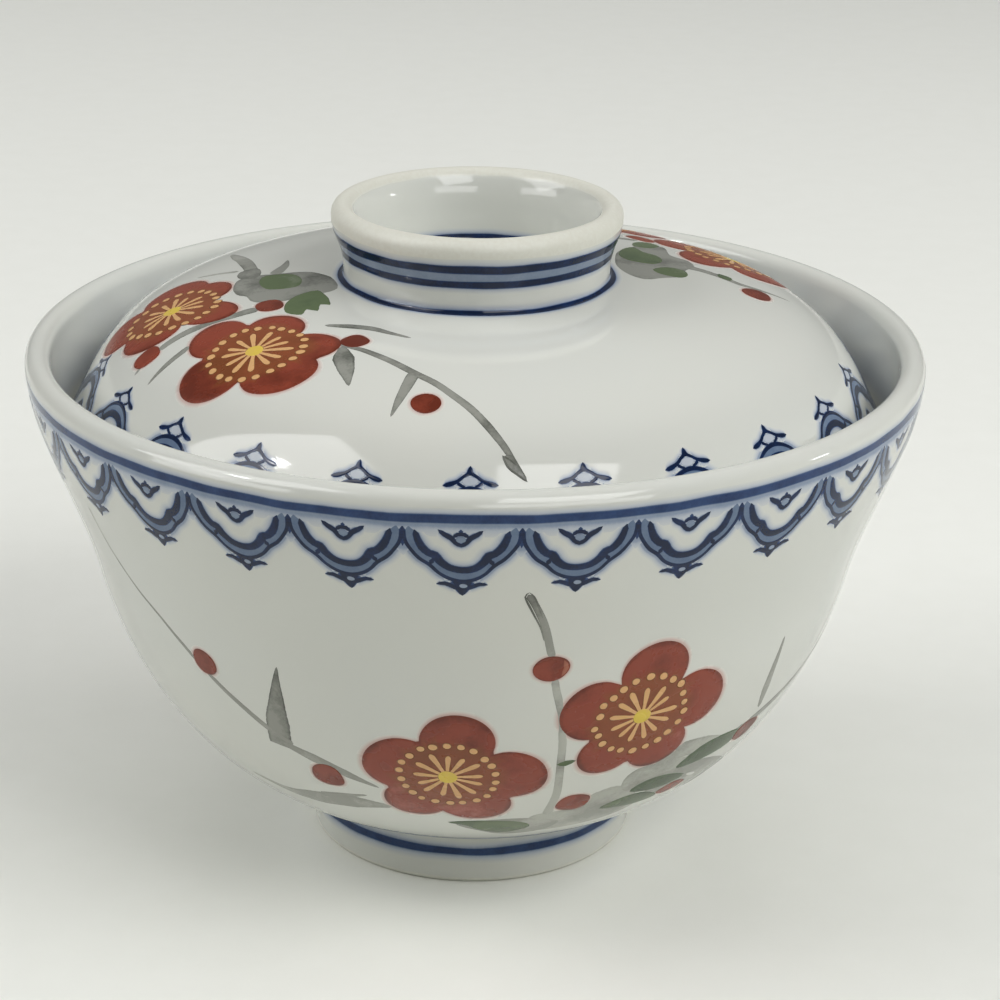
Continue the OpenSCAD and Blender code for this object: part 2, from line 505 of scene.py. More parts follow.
def stamens_tree():
    """Round each flower's middle: a ring of rays, a ring of dots and one round heart, a little uneven."""
    t = Group("stamens", "GeometryNodeTree",
              [("Middles", "Geometry"), ("Ray", "Object"), ("Dot", "Object"), ("Heart", "Object"),
               ("Rays", "Int", RAYS), ("Dots", "Int", DOTS), ("Dot Ring", "Float", DOT_RING),
               ("Uneven", "Float", STAMENS_UNEVEN), ("Seed", "Int", STAMENS_SEED),
               ("Enamel", "Material")],
              [("Geometry", "Geometry")])

    def chance(spread, seed_step):
        """A number within a spread either side of nothing, one for each mark."""
        seed = t["Seed"] + seed_step
        return t.one("FunctionNodeRandomValue", {"Min": spread * -1, "Max": spread, "Seed": seed}, "Value",
                     data_type="FLOAT")

    def on_points(points, mark, **settings):
        return t.one("GeometryNodeInstanceOnPoints",
                     {"Points": points, "Instance": t.shape_of(mark), **settings})

    def ring(mark, count, reach, seed_step):
        points, number = t.copies(t["Middles"], count, "POINT")
        turn = (number + chance(t["Uneven"], seed_step)) / count * FULL_TURN
        out = t.math("ADD", 1.0, chance(t["Uneven"] * DOT_RING_UNEVEN_SHARE, seed_step + 1)) * reach
        offset = t.vector(out * t.math("SINE", turn), out * t.math("COSINE", turn), 0.0)
        moved = t.one("GeometryNodeSetPosition", {"Geometry": points, "Offset": offset})
        rotation = t.one("FunctionNodeEulerToRotation", [t.vector(0.0, 0.0, turn * -1)])
        size = t.math("ADD", 1.0, chance(t["Uneven"], seed_step + 2))
        return on_points(moved, mark, Rotation=rotation, Scale=size)

    rays = ring(t["Ray"], t["Rays"], 0.0, 1)
    dots = ring(t["Dot"], t["Dots"], t["Dot Ring"], 11)
    hearts = on_points(t["Middles"], t["Heart"])
    joined = t.node("GeometryNodeJoinGeometry")
    for marks in (hearts, dots, rays):
        t.join(marks, joined.inputs[0])
    return t.finish(Value(t, joined.outputs[0]), t["Enamel"])


def use_tree(piece, group, **values):
    """Puts a tree on a piece, with its named inputs set by the sockets' identifiers."""
    modifier = piece.modifiers.new(group.tree.name, "NODES")
    modifier.node_group = group.tree
    for name, value in values.items():
        modifier[group.sockets[name.replace("_", " ")]] = value


def new_object(name, data):
    made = bpy.data.objects.new(name, data)
    bpy.context.scene.collection.objects.link(made)
    return made


def made_plain(piece, name):
    """The evaluated piece as a plain mesh object of its own, with the first piece taken away."""
    bpy.context.view_layer.update()
    graph = bpy.context.evaluated_depsgraph_get()
    mesh = bpy.data.meshes.new_from_object(piece.evaluated_get(graph))
    mesh.name = name
    bpy.data.objects.remove(piece)
    for polygon in mesh.polygons:
        polygon.use_smooth = True
    return new_object(name, mesh)


# Flat drawings: strokes, patches and flowers

# What each point carries: its own turn, its depth of tone and how far yellow has stained it
MARKS = ("turn", "tone", "stain")


class Drawing:
    """Paint before it is laid on the form."""

    def __init__(self, track=None, lift=0.0):
        self.track = track
        self.lift = lift
        self.points = []
        self.faces = []
        self.marks = {word: [] for word in MARKS}

    def add(self, turn, across, along, lift, tone, stain=0.0):
        self.points.append((across, along, lift))
        for word, value in zip(MARKS, (turn, tone, stain)):
            self.marks[word].append(value)
        return len(self.points) - 1

    def join_rows(self, rows, closed=False):
        """Quads between rows of as many points each, where the next row lies to the left of each."""
        count = len(rows[0])
        last = count if closed else count - 1
        for low, high in zip(rows, rows[1:]):
            for i in range(last):
                j = (i + 1) % count
                self.faces.append((low[i], low[j], high[j], high[i]))

    def piece(self, name, words=MARKS):
        mesh = bpy.data.meshes.new(name)
        mesh.from_pydata(self.points, [], self.faces)
        for word in words:
            mesh.attributes.new(word, "FLOAT", "POINT").data.foreach_set("value", self.marks[word])
        return new_object(name, mesh)


def between(values, share):
    """A value read from an even row of values."""
    place = min(max(share, 0.0), 1.0) * (len(values) - 1)
    low = min(int(place), len(values) - 2)
    return values[low] + (values[low + 1] - values[low]) * (place - low)


def smooth_run(points, step, closed=False):
    """A smooth run through points, no longer than a step between its own."""
    count = len(points)
    spans = count if closed else count - 1
    run = []
    for i in range(spans):
        p1 = points[i]
        p2 = points[(i + 1) % count]
        p0 = points[i - 1] if closed or i > 0 else p1
        p3 = points[(i + 2) % count] if closed or i < count - 2 else p2
        steps = max(2, math.ceil((p2 - p1).length / step))
        for k in range(steps):
            t = k / steps
            a = 2 * p1 + (p2 - p0) * t
            b = (2 * p0 - 5 * p1 + 4 * p2 - p3) * t * t
            c = (3 * p1 - p0 - 3 * p2 + p3) * t**3
            run.append((a + b + c) / 2)
    if not closed:
        run.append(points[-1])
    return run


# Across a stroke: how far out each point lies, and its share of the stroke's tone
STROKE_SHAPE = ((1.0, 0.55), (0.72, 1.0), (0.0, 1.0), (-0.72, 1.0), (-1.0, 0.55))
RIMMED_SHAPE = ((1.0, 1.35), (0.7, 1.0), (0.0, 0.95), (-0.7, 1.0), (-1.0, 1.35))
BLEED_SHAPE = ((1.0, 0.0), (0.8, 0.18), (0.6, 0.48), (0.36, 0.95), (-0.36, 0.95), (-0.6, 0.48),
               (-0.8, 0.18), (-1.0, 0.0))
HAZE_SHAPE = ((0.9, 1.0), (0.2, 1.0), (-0.3, 0.6), (-1.0, 0.25))
CORNER_SHAPE = ((1.0, 0.6), (0.5, 1.0), (-0.5, 1.0), (-1.0, 0.6))
STROKE_STEP = 0.9 * MM
NARROWEST_END = 0.12
EDGE_LIFT_SHARE = 0.5
BLEED_TONE = 0.32
BLEED = 1.3 * MM
SMALL_BLEED = 0.85 * MM


def stroke(drawing, spots, widths, lift, tones=(1.0, 1.0), step=STROKE_STEP, ends=(True, True),
           shape=STROKE_SHAPE, edge_lift=None, stain=0.0):
    """A brush stroke along spots of (turn in radians, length along the track), as wide as its widths say.
    Ends that are True are rounded off, and others run out to the last width."""
    track = drawing.track
    middle = track.radius(sum(s[1] for s in spots) / len(spots))
    flat = smooth_run([Vector((s[0] * middle, s[1])) for s in spots], step)
    lengths = [0.0]
    for p, q in zip(flat, flat[1:]):
        lengths.append(lengths[-1] + (q - p).length)
    total = lengths[-1]
    edge_lift = lift * EDGE_LIFT_SHARE if edge_lift is None else edge_lift
    rows = []
    for i, p in enumerate(flat):
        before = flat[max(i - 1, 0)]
        after = flat[min(i + 1, len(flat) - 1)]
        radius = track.radius(p.y)
        way = unit(Vector(((after.x - before.x) * radius / middle, after.y - before.y)))
        share = lengths[i] / total
        half = between(widths, share) / 2
        near = min(lengths[i] if ends[0] else total, total - lengths[i] if ends[1] else total)
        if near < half:
            half *= max(NARROWEST_END, math.sqrt(1 - (1 - near / half) ** 2))
        tone = between(tones, share)
        row = []
        for out, depth in shape:
            height = edge_lift if abs(out) == 1.0 else lift
            row.append(drawing.add(p.x / middle, -way.y * out * half, p.y + way.x * out * half, height,
                                   tone * depth, stain))
        rows.append(row)
    drawing.join_rows(rows)


def soft_stroke(drawing, spots, widths, lift, bleed=BLEED, **settings):
    """A stroke under the glaze, with the faint colour that has crept out beside it."""
    crept = {**settings, "tones": (BLEED_TONE, BLEED_TONE), "shape": BLEED_SHAPE}
    stroke(drawing, spots, [w + 2 * bleed for w in widths], lift * BLEED_LIFT_SHARE, **crept)
    stroke(drawing, spots, widths, lift, **settings)


PETALS_MEET = 7.5 * MM
FLOWER_POINTS = 120
ROUND_POINTS = 28
PATCH_RINGS = (0.3, 0.5, 0.64, 0.78, 0.9, 0.965, 1.0)
ROUND_WAVES = (2, 3, 4)
ROUND_UNEVEN = 0.04
# Across a halo, from just inside the edge of its shape: how far out, its share of tone and of height
HALO_SHAPE = ((-0.5, 1.0, 1.0), (0.0, 1.0, 1.0), (0.45, 0.4, 0.5), (1.0, 0.0, 0.0))


def counterclockwise(edge):
    area = sum(p.x * q.y - p.y * q.x for p, q in zip(edge, edge[1:] + edge[:1]))
    return edge if area > 0 else edge[::-1]


def patch(drawing, middle, edge, lift, tone, edge_tone, edge_lift, stained_to=0.0):
    """A filled shape: rings of points from its middle out to its edge. Edge points are (across, along) from
    the middle, which is a (turn in radians, length along the track). The tone is one number, or one for each
    edge point."""
    edge = counterclockwise(edge)
    tones = tone if isinstance(tone, list) else [tone] * len(edge)
    heart = drawing.add(middle[0], 0.0, middle[1], lift, sum(tones) / len(tones), 1.0 if stained_to else 0.0)
    rows = []
    for share in PATCH_RINGS:
        row = []
        for p, body_tone in zip(edge, tones):
            depth = edge_tone if share >= PATCH_RINGS[-2] else body_tone
            stain = 1.0 if share * p.length < stained_to else 0.0
            row.append(drawing.add(middle[0], share * p.x, middle[1] + share * p.y,
                                   edge_lift if share == 1.0 else lift, depth, stain))
        rows.append(row)
    count = len(edge)
    for i in range(count):
        drawing.faces.append((heart, rows[0][i], rows[0][(i + 1) % count]))
    drawing.join_rows(rows[::-1], closed=True)


def halo(drawing, middle, edge, reach, lift, tone):
    """The faint colour just past the edge of a filled shape, fading out."""
    edge = counterclockwise(edge)
    rows = []
    for out, share, lift_share in HALO_SHAPE:
        height = lift * lift_share if lift_share else EDGE_DIP / 2
        rows.append([])
        for p in edge:
            q = p * (1 + out * reach / p.length)
            rows[-1].append(drawing.add(middle[0], q.x, middle[1] + q.y, height, tone * share))
    drawing.join_rows(rows[::-1], closed=True)


def angles_round(count):
    return [FULL_TURN * i / count for i in range(count)]


def hand_swell(waves, uneven, seed):
    """How much wider a hand-painted round is than a true one, as a function of the angle."""
    dice = random.Random(seed)
    terms = [(n, dice.uniform(-uneven, uneven), dice.uniform(0, FULL_TURN)) for n in waves]
    return lambda angle: 1 + sum(depth * math.sin(n * angle + turn) for n, depth, turn in terms)


def round_edge(across, along, count=ROUND_POINTS, seed=1):
    """The edge of a hand-painted round: an oval, slightly out of true."""
    swell = hand_swell(ROUND_WAVES, ROUND_UNEVEN, seed)
    return [Vector((across * math.cos(a) * swell(a), along * math.sin(a) * swell(a)))
            for a in angles_round(count)]


def petals_edge(petals):
    """The outline of overlapping round petals, seen from a flower's middle."""
    edge = []
    for a in angles_round(FLOWER_POINTS):
        way = Vector((math.cos(a), math.sin(a)))
        far = PETALS_MEET
        for centre, radius in petals:
            ahead = centre.dot(way)
            aside = centre.length_squared - ahead * ahead
            if aside < radius * radius:
                far = max(far, ahead + math.sqrt(radius * radius - aside))
        edge.append(way * far)
    return edge


# Colours, as they are written for display

def colour(red, green, blue):
    """A display colour in 0 to 255 as the shader's linear one."""
    def linear(c):
        c = c / 255
        return c / 12.92 if c <= 0.04045 else ((c + 0.055) / 1.055) ** 2.4
    return (linear(red), linear(green), linear(blue), 1.0)


PORCELAIN_WARM = colour(212, 212, 203)
PORCELAIN_COOL = colour(207, 210, 205)
CLAY = colour(213, 213, 202)
CLAY_DARK = colour(209, 208, 196)
SPECK = colour(96, 90, 78)
BLUE_PALE = colour(162, 172, 190)
BLUE_WASH = colour(108, 125, 146)
BLUE_MID = colour(42, 69, 114)
BLUE_DEEP = colour(15, 38, 78)
BLUE_POOL = colour(10, 27, 56)
RED = colour(136, 60, 41)
RED_DARK = colour(97, 36, 18)
RED_THIN = colour(184, 112, 98)
RED_STAINED = colour(128, 78, 36)
YELLOW = colour(214, 188, 74)
PEACH = colour(210, 164, 112)
BROWN_UNDER = colour(112, 66, 30)
GREY = colour(175, 176, 167)
GREY_MID = colour(144, 145, 137)
GREY_DARK = colour(88, 90, 83)
GREEN_THIN = colour(120, 130, 108)
GREEN = colour(89, 105, 71)
GREEN_DARK = colour(70, 86, 60)
FLOOR = colour(236, 237, 231)
FLOOR_CLOUD = colour(230, 231, 224)

# Which colour lies at each depth of tone, and the tone below which the glaze shows through
BLUE_DEPTHS = ((0.0, BLUE_PALE), (0.20, BLUE_PALE), (0.42, BLUE_WASH), (0.72, BLUE_MID), (0.92, BLUE_DEEP),
               (1.0, BLUE_POOL))
BLUE_COVERS_AT = 0.30
ENAMEL_THIN_TO = 0.30
ENAMEL_BODY_FROM = 0.55
ENAMEL_BODY_TO = 0.70
ENAMEL_COVERS_AT = 0.24

# Where most of a noise's values lie, and how far it swings what it sways
NOISE_SPAN = (0.3, 0.7)
CLAY_SPAN = (0.35, 0.65)
MOTTLE_SPAN = (0.32, 0.68)
BLUE_SLOW_SWING = (0.92, 1.06)
BLUE_FINE_SWING = (0.96, 1.04)
ENAMEL_MOTTLE = 0.16
ENAMEL_FINE_SWING = (-0.05, 0.05)
ENAMEL_ROUGH_SWING = 0.05
CARD_CLOUDED = (0.0, 0.25)
STAIN_STRENGTH = 0.5

# How the glaze, the clay and the paints take the light
GLAZE_IOR = 1.5
GLAZE_ROUGH = (0.05, 0.09)
GLAZE_PEEL = 0.06
PEEL_SCALE = 260.0
PEEL_DEPTH = 0.1 * MM
CLAY_ROUGH = 0.5
BLUE_SPECULAR = 0.32
ENAMEL_SPECULAR = 0.36
ENAMEL_GRAIN_BUMP = 0.12
ENAMEL_GRAIN_DEPTH = 0.05 * MM

# The few dark specks in the glaze: how closely they may lie, their size, how many show and how dark
SPECK_CELLS = 62.0
SPECK_EDGE = (0.018, 0.010)
SPECK_CHOSEN = (0.90, 0.93)
SPECK_DARKNESS = 0.6


# Shader groups that more than one material uses

def unevenness_group():
    """A slow and a fine unevenness of colour, in the piece's own place."""
    t = Group("hand_made_unevenness", "ShaderNodeTree",
              [("Slow Scale", "Float", 30.0), ("Fine Scale", "Float", 400.0)],
              [("Slow", "Float"), ("Fine", "Float")])
    place = t.place()
    for word, detail in (("Slow", 3.0), ("Fine", 5.0)):
        noise = t.one("ShaderNodeTexNoise",
                      {"Vector": place, "Scale": t[word + " Scale"], "Detail": detail}, "Fac")
        t.join(noise, t.result[word])
    return t.tree


def unevenness(t, **scales):
    """The slow and the fine unevenness at a tree's own scales."""
    return t.all_of("ShaderNodeGroup", {word.replace("_", " "): scale for word, scale in scales.items()},
                    node_tree=UNEVENNESS)


def glaze_group():
    """The porcelain under its glaze: its colour, a roughness and a faint orange-peel normal."""
    t = Group("glazed_porcelain", "ShaderNodeTree", [("Peel", "Float", GLAZE_PEEL)],
              [("Base", "Color"), ("Roughness", "Float"), ("Normal", "Vector")])
    slow, _ = unevenness(t, Slow_Scale=22.0)
    peel = t.one("ShaderNodeTexNoise", {"Vector": t.place(), "Scale": PEEL_SCALE, "Detail": 2.0}, "Fac")
    t.join(t.mixed(slow, PORCELAIN_COOL, PORCELAIN_WARM), t.result["Base"])
    t.join(t.mapped(slow, 0.0, 1.0, *GLAZE_ROUGH), t.result["Roughness"])
    t.join(t.bump(peel, t["Peel"], PEEL_DEPTH), t.result["Normal"])
    return t.tree


UNEVENNESS = unevenness_group()
GLAZE = glaze_group()


class Finish(Nodes):
    """A material with its own shader."""

    def __init__(self, name):
        self.material = bpy.data.materials.new(name)
        self.material.use_nodes = True
        super().__init__(self.material.node_tree)
        self.tree.nodes.clear()
        self.surface = self.node("ShaderNodeOutputMaterial").inputs["Surface"]
        self.shader = self.node("ShaderNodeBsdfPrincipled")
        self.tree.links.new(self.shader.outputs[0], self.surface)

    def glaze(self):
        """The glaze's colour, roughness and normal."""
        return self.all_of("ShaderNodeGroup", node_tree=GLAZE)

    def shade(self, inputs):
        """Joins or sets the shader's own inputs."""
        for word, value in inputs.items():
            self.join(value, self.shader.inputs[word])
        return self.material

    def clamped(self, operation, *values):
        return self.math(operation, *values, use_clamp=True)

    def said(self, word):
        """What each point of a drawing says of its own paint."""
        return self.one("ShaderNodeAttribute", output="Fac", attribute_name=word)

    def ramp(self, factor, stops):
        """A run of colours over a factor."""
        node = self.node("ShaderNodeValToRGB", [factor])
        elements = node.color_ramp.elements
        while len(elements) < len(stops):
            elements.new(0.5)
        for element, (place, shade) in zip(elements, stops):
            element.position = place
            element.color = shade
        return Value(self, node.outputs["Color"])


def porcelain(name, bare_at):
    """White porcelain under a clear glaze. bare_at gives the height past which the clay is bare, by
    radius, as (radius, height) inside and outside, and whether the bare side is up or down."""
    (inner_r, inner_z), (outer_r, outer_z), up = bare_at
    m = Finish(name)
    glaze, glaze_rough, glaze_normal = m.glaze()
    slow, fine = unevenness(m, Slow_Scale=160.0, Fine_Scale=1500.0)
    place = m.place()
    x, y, z = m.parts(place)
    radius = m.math("SQRT", m.math("MULTIPLY_ADD", y, y, x * x))
    level = m.mapped(radius, inner_r, outer_r, inner_z, outer_z)
    past = m.math("MULTIPLY_ADD", slow, BARE_WANDER, z - level)
    soft = BARE_EDGE if up else -BARE_EDGE
    bare = m.mapped(past, BARE_WANDER / 2, BARE_WANDER / 2 + soft)
    distance, chance, *_ = m.all_of("ShaderNodeTexVoronoi", {"Vector": place, "Scale": SPECK_CELLS})
    chosen = m.mapped(m.one("ShaderNodeSeparateColor", [chance]), *SPECK_CHOSEN)
    speck = m.clamped("MULTIPLY", m.mapped(distance, *SPECK_EDGE), chosen)
    glazed = m.mixed(m.clamped("MULTIPLY", speck, SPECK_DARKNESS), glaze, SPECK)
    clay = m.mixed(m.mapped(fine, *CLAY_SPAN), CLAY_DARK, CLAY)
    rough = m.mixed(bare, glaze_rough, CLAY_ROUGH, "FLOAT")
    return m.shade({"Base Color": m.mixed(bare, glazed, clay), "Roughness": rough, "Normal": glaze_normal,
                    "IOR": GLAZE_IOR})


def under_glaze_blue():
    """Cobalt under the glaze: porcelain where its tone is nothing, then wash, then pooled deep blue."""
    m = Finish("cobalt_blue")
    glaze, glaze_rough, glaze_normal = m.glaze()
    slow, fine = unevenness(m, Slow_Scale=300.0, Fine_Scale=2600.0)
    uneven = m.mapped(slow, *NOISE_SPAN, *BLUE_SLOW_SWING) * m.mapped(fine, *NOISE_SPAN, *BLUE_FINE_SWING)
    tone = m.clamped("MULTIPLY", m.said("tone"), uneven)
    base = m.mixed(m.mapped(tone, 0.0, BLUE_COVERS_AT), glaze, m.ramp(tone, BLUE_DEPTHS))
    return m.shade({"Base Color": base, "Roughness": glaze_rough, "Normal": glaze_normal,
                    "IOR": GLAZE_IOR, "Specular IOR Level": BLUE_SPECULAR})


def enamel(name, thin, body, dark, slow_scale, rough, mottle, stained=None):
    """Enamel over the glaze: thin colour at low tone, its body colour, and a darker one where it
    gathers."""
    m = Finish(name)
    slow, fine = unevenness(m, Slow_Scale=slow_scale, Fine_Scale=2200.0)
    tone = m.said("tone")
    swing = m.mapped(slow, *MOTTLE_SPAN, -ENAMEL_MOTTLE * mottle, ENAMEL_MOTTLE * mottle)
    deep = m.clamped("ADD", tone, swing + m.mapped(fine, *NOISE_SPAN, *ENAMEL_FINE_SWING))
    shade = m.ramp(deep, ((0.0, thin), (ENAMEL_THIN_TO, thin), (ENAMEL_BODY_FROM, body),
                          (ENAMEL_BODY_TO, body), (1.0, dark)))
    if stained:
        shade = m.mixed(m.clamped("MULTIPLY", m.said("stain"), STAIN_STRENGTH), shade, stained)
    glaze, _, _ = m.glaze()
    return m.shade({"Base Color": m.mixed(m.mapped(tone, 0.0, ENAMEL_COVERS_AT), glaze, shade),
                    "Roughness": m.mapped(slow, *NOISE_SPAN, rough - ENAMEL_ROUGH_SWING,
                                          rough + ENAMEL_ROUGH_SWING),
                    "Normal": m.bump(fine, ENAMEL_GRAIN_BUMP, ENAMEL_GRAIN_DEPTH),
                    "IOR": GLAZE_IOR, "Specular IOR Level": ENAMEL_SPECULAR})


# Where the clay is bare: the foot's edge, and the grip ring's lip, further down outside than inside
BARE_WANDER = 0.6 * MM
BARE_EDGE = 0.5 * MM
BARE_FOOT_H = 1.1 * MM
BARE_LIP_HALF = 1.2 * MM
BARE_LIP_IN = 1.3 * MM
BARE_LIP_OUT = 3.6 * MM
BARE_FOOT = ((RECESS_R, BARE_FOOT_H), (FOOT_R, BARE_FOOT_H), False)
BARE_LIP = ((BEAD_C.x - BARE_LIP_HALF, GRIP_TOP - BARE_LIP_IN),
            (BEAD_C.x + BARE_LIP_HALF, GRIP_TOP - BARE_LIP_OUT), True)
BOWL_GLAZE = porcelain("bowl_porcelain", BARE_FOOT)
LID_GLAZE = porcelain("lid_porcelain", BARE_LIP)
BLUE = under_glaze_blue()
RED_ENAMEL = enamel("iron_red_enamel", RED_THIN, RED, RED_DARK,
                    slow_scale=220.0, rough=0.28, mottle=0.9, stained=RED_STAINED)
YELLOW_ENAMEL = enamel("yellow_enamel", BROWN_UNDER, PEACH, YELLOW, slow_scale=300.0, rough=0.26, mottle=0.4)
GREY_ENAMEL = enamel("grey_wash", GREY, GREY_MID, GREY_DARK, slow_scale=150.0, rough=0.18, mottle=1.2)
GREEN_ENAMEL = enamel("green_enamel", GREEN_THIN, GREEN, GREEN_DARK, slow_scale=170.0, rough=0.2, mottle=1.4)


# How far paint stands off the glaze, in its layers
BLEED_LIFT_SHARE = 0.35
HAZE_LIFT = 0.021 * MM
WASH_LIFT = 0.027 * MM
LINE_LIFT = 0.04 * MM
GREY_LIFT = 0.035 * MM
GREEN_LIFT = 0.06 * MM
RED_LIFT = 0.085 * MM
YELLOW_LIFT = 0.12 * MM
RED_BLEED = 0.8 * MM
RED_HALO_TONE = 0.11
EDGE_DIP = -0.01 * MM

TURNED_FORM = turned_form_tree()
PAINTED_ROUND = painted_round_tree()
STAMENS = stamens_tree()


class Hand:
    """What lays its strokes by spots of its own, with widths in millimetres."""

    def run(self, pairs, widths_mm):
        return [self.spot(*p) for p in pairs], [w * MM for w in widths_mm]


# The two turned bodies

def turned_body(node, outline, glaze):
    """A node's form turned anew from its outline, smooth all round, in the node's place."""
    name = node + "_form"
    mesh = bpy.data.meshes.new(name + "_outline")
    mesh.from_pydata([(p.x, 0, p.y) for p in outline], [(i, i + 1) for i in range(len(outline) - 1)], [])
    helper = new_object(name + "_outline", mesh)
    carrier = new_object(name + "_carrier", bpy.data.meshes.new(name + "_carrier"))
    use_tree(carrier, TURNED_FORM, Outline=helper, Turns=TURNS, Glaze=glaze)
    body = made_plain(carrier, name)
    bpy.data.objects.remove(helper)
    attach(body, node)
    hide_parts(node)


def lay(drawing_piece, name, track, paint, copies, body, lean=0.0):
    """Lays a drawing round its track as one finished piece that rides on a body."""
    use_tree(drawing_piece, PAINTED_ROUND, Track=track.object, Copies=copies, Lean=lean, Paint=paint)
    piece = made_plain(drawing_piece, name)
    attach(piece, body)


turned_body("bowl", bowl_outline(), BOWL_GLAZE)
turned_body("lid", lid_outline(), LID_GLAZE)

WALL = Track("wall_track", wall_outside(TRACK_STEP))
FOOT = Track("foot_track", foot_outside())
DOME_TRACK = Track("dome_track", dome_outside(TRACK_STEP) + grip_outside())
WELL = Track("well_track", grip_inside())


# The lappet borders: one lappet drawn once, in millimetres across and away from the band

LAPPET_OUTER = ((8.65, 1.0), (8.35, 3.0), (7.4, 4.7), (6.3, 6.1), (4.75, 7.35), (3.5, 8.8), (1.9, 9.85),
                (0.0, 10.3))
LAPPET_INNER = ((6.95, 1.1), (6.5, 2.7), (5.85, 4.1), (4.85, 5.15), (4.0, 5.5), (3.3, 6.6), (1.9, 7.8),
                (0.0, 8.2))
LAPPET_WASH = ((7.8, 0.6), (7.4, 3.1), (6.3, 5.1), (5.0, 6.6), (3.4, 7.95), (1.8, 8.95), (0.0, 9.3))
OUTER_WIDTHS = (0.9, 0.7, 0.62, 0.68, 0.7, 0.62, 0.75, 0.85)
INNER_WIDTHS = (0.95, 1.2, 1.45, 1.35, 1.6, 1.4, 1.35, 1.35)
LAPPET_HALF = 8.7
HAZE_TONE = 0.34
JOINT_HAZE_LIFT_SHARE = 0.85
FINE_STEP = 0.45 * MM
CLOSE_STEP = 0.6 * MM


def both_sides(run):
    """A run given from its right end to the middle, carried on to the left."""
    return list(run) + [(-x, y) for x, y in run[-2::-1]]


def there_and_back(widths):
    return list(widths) + list(widths[-2::-1])


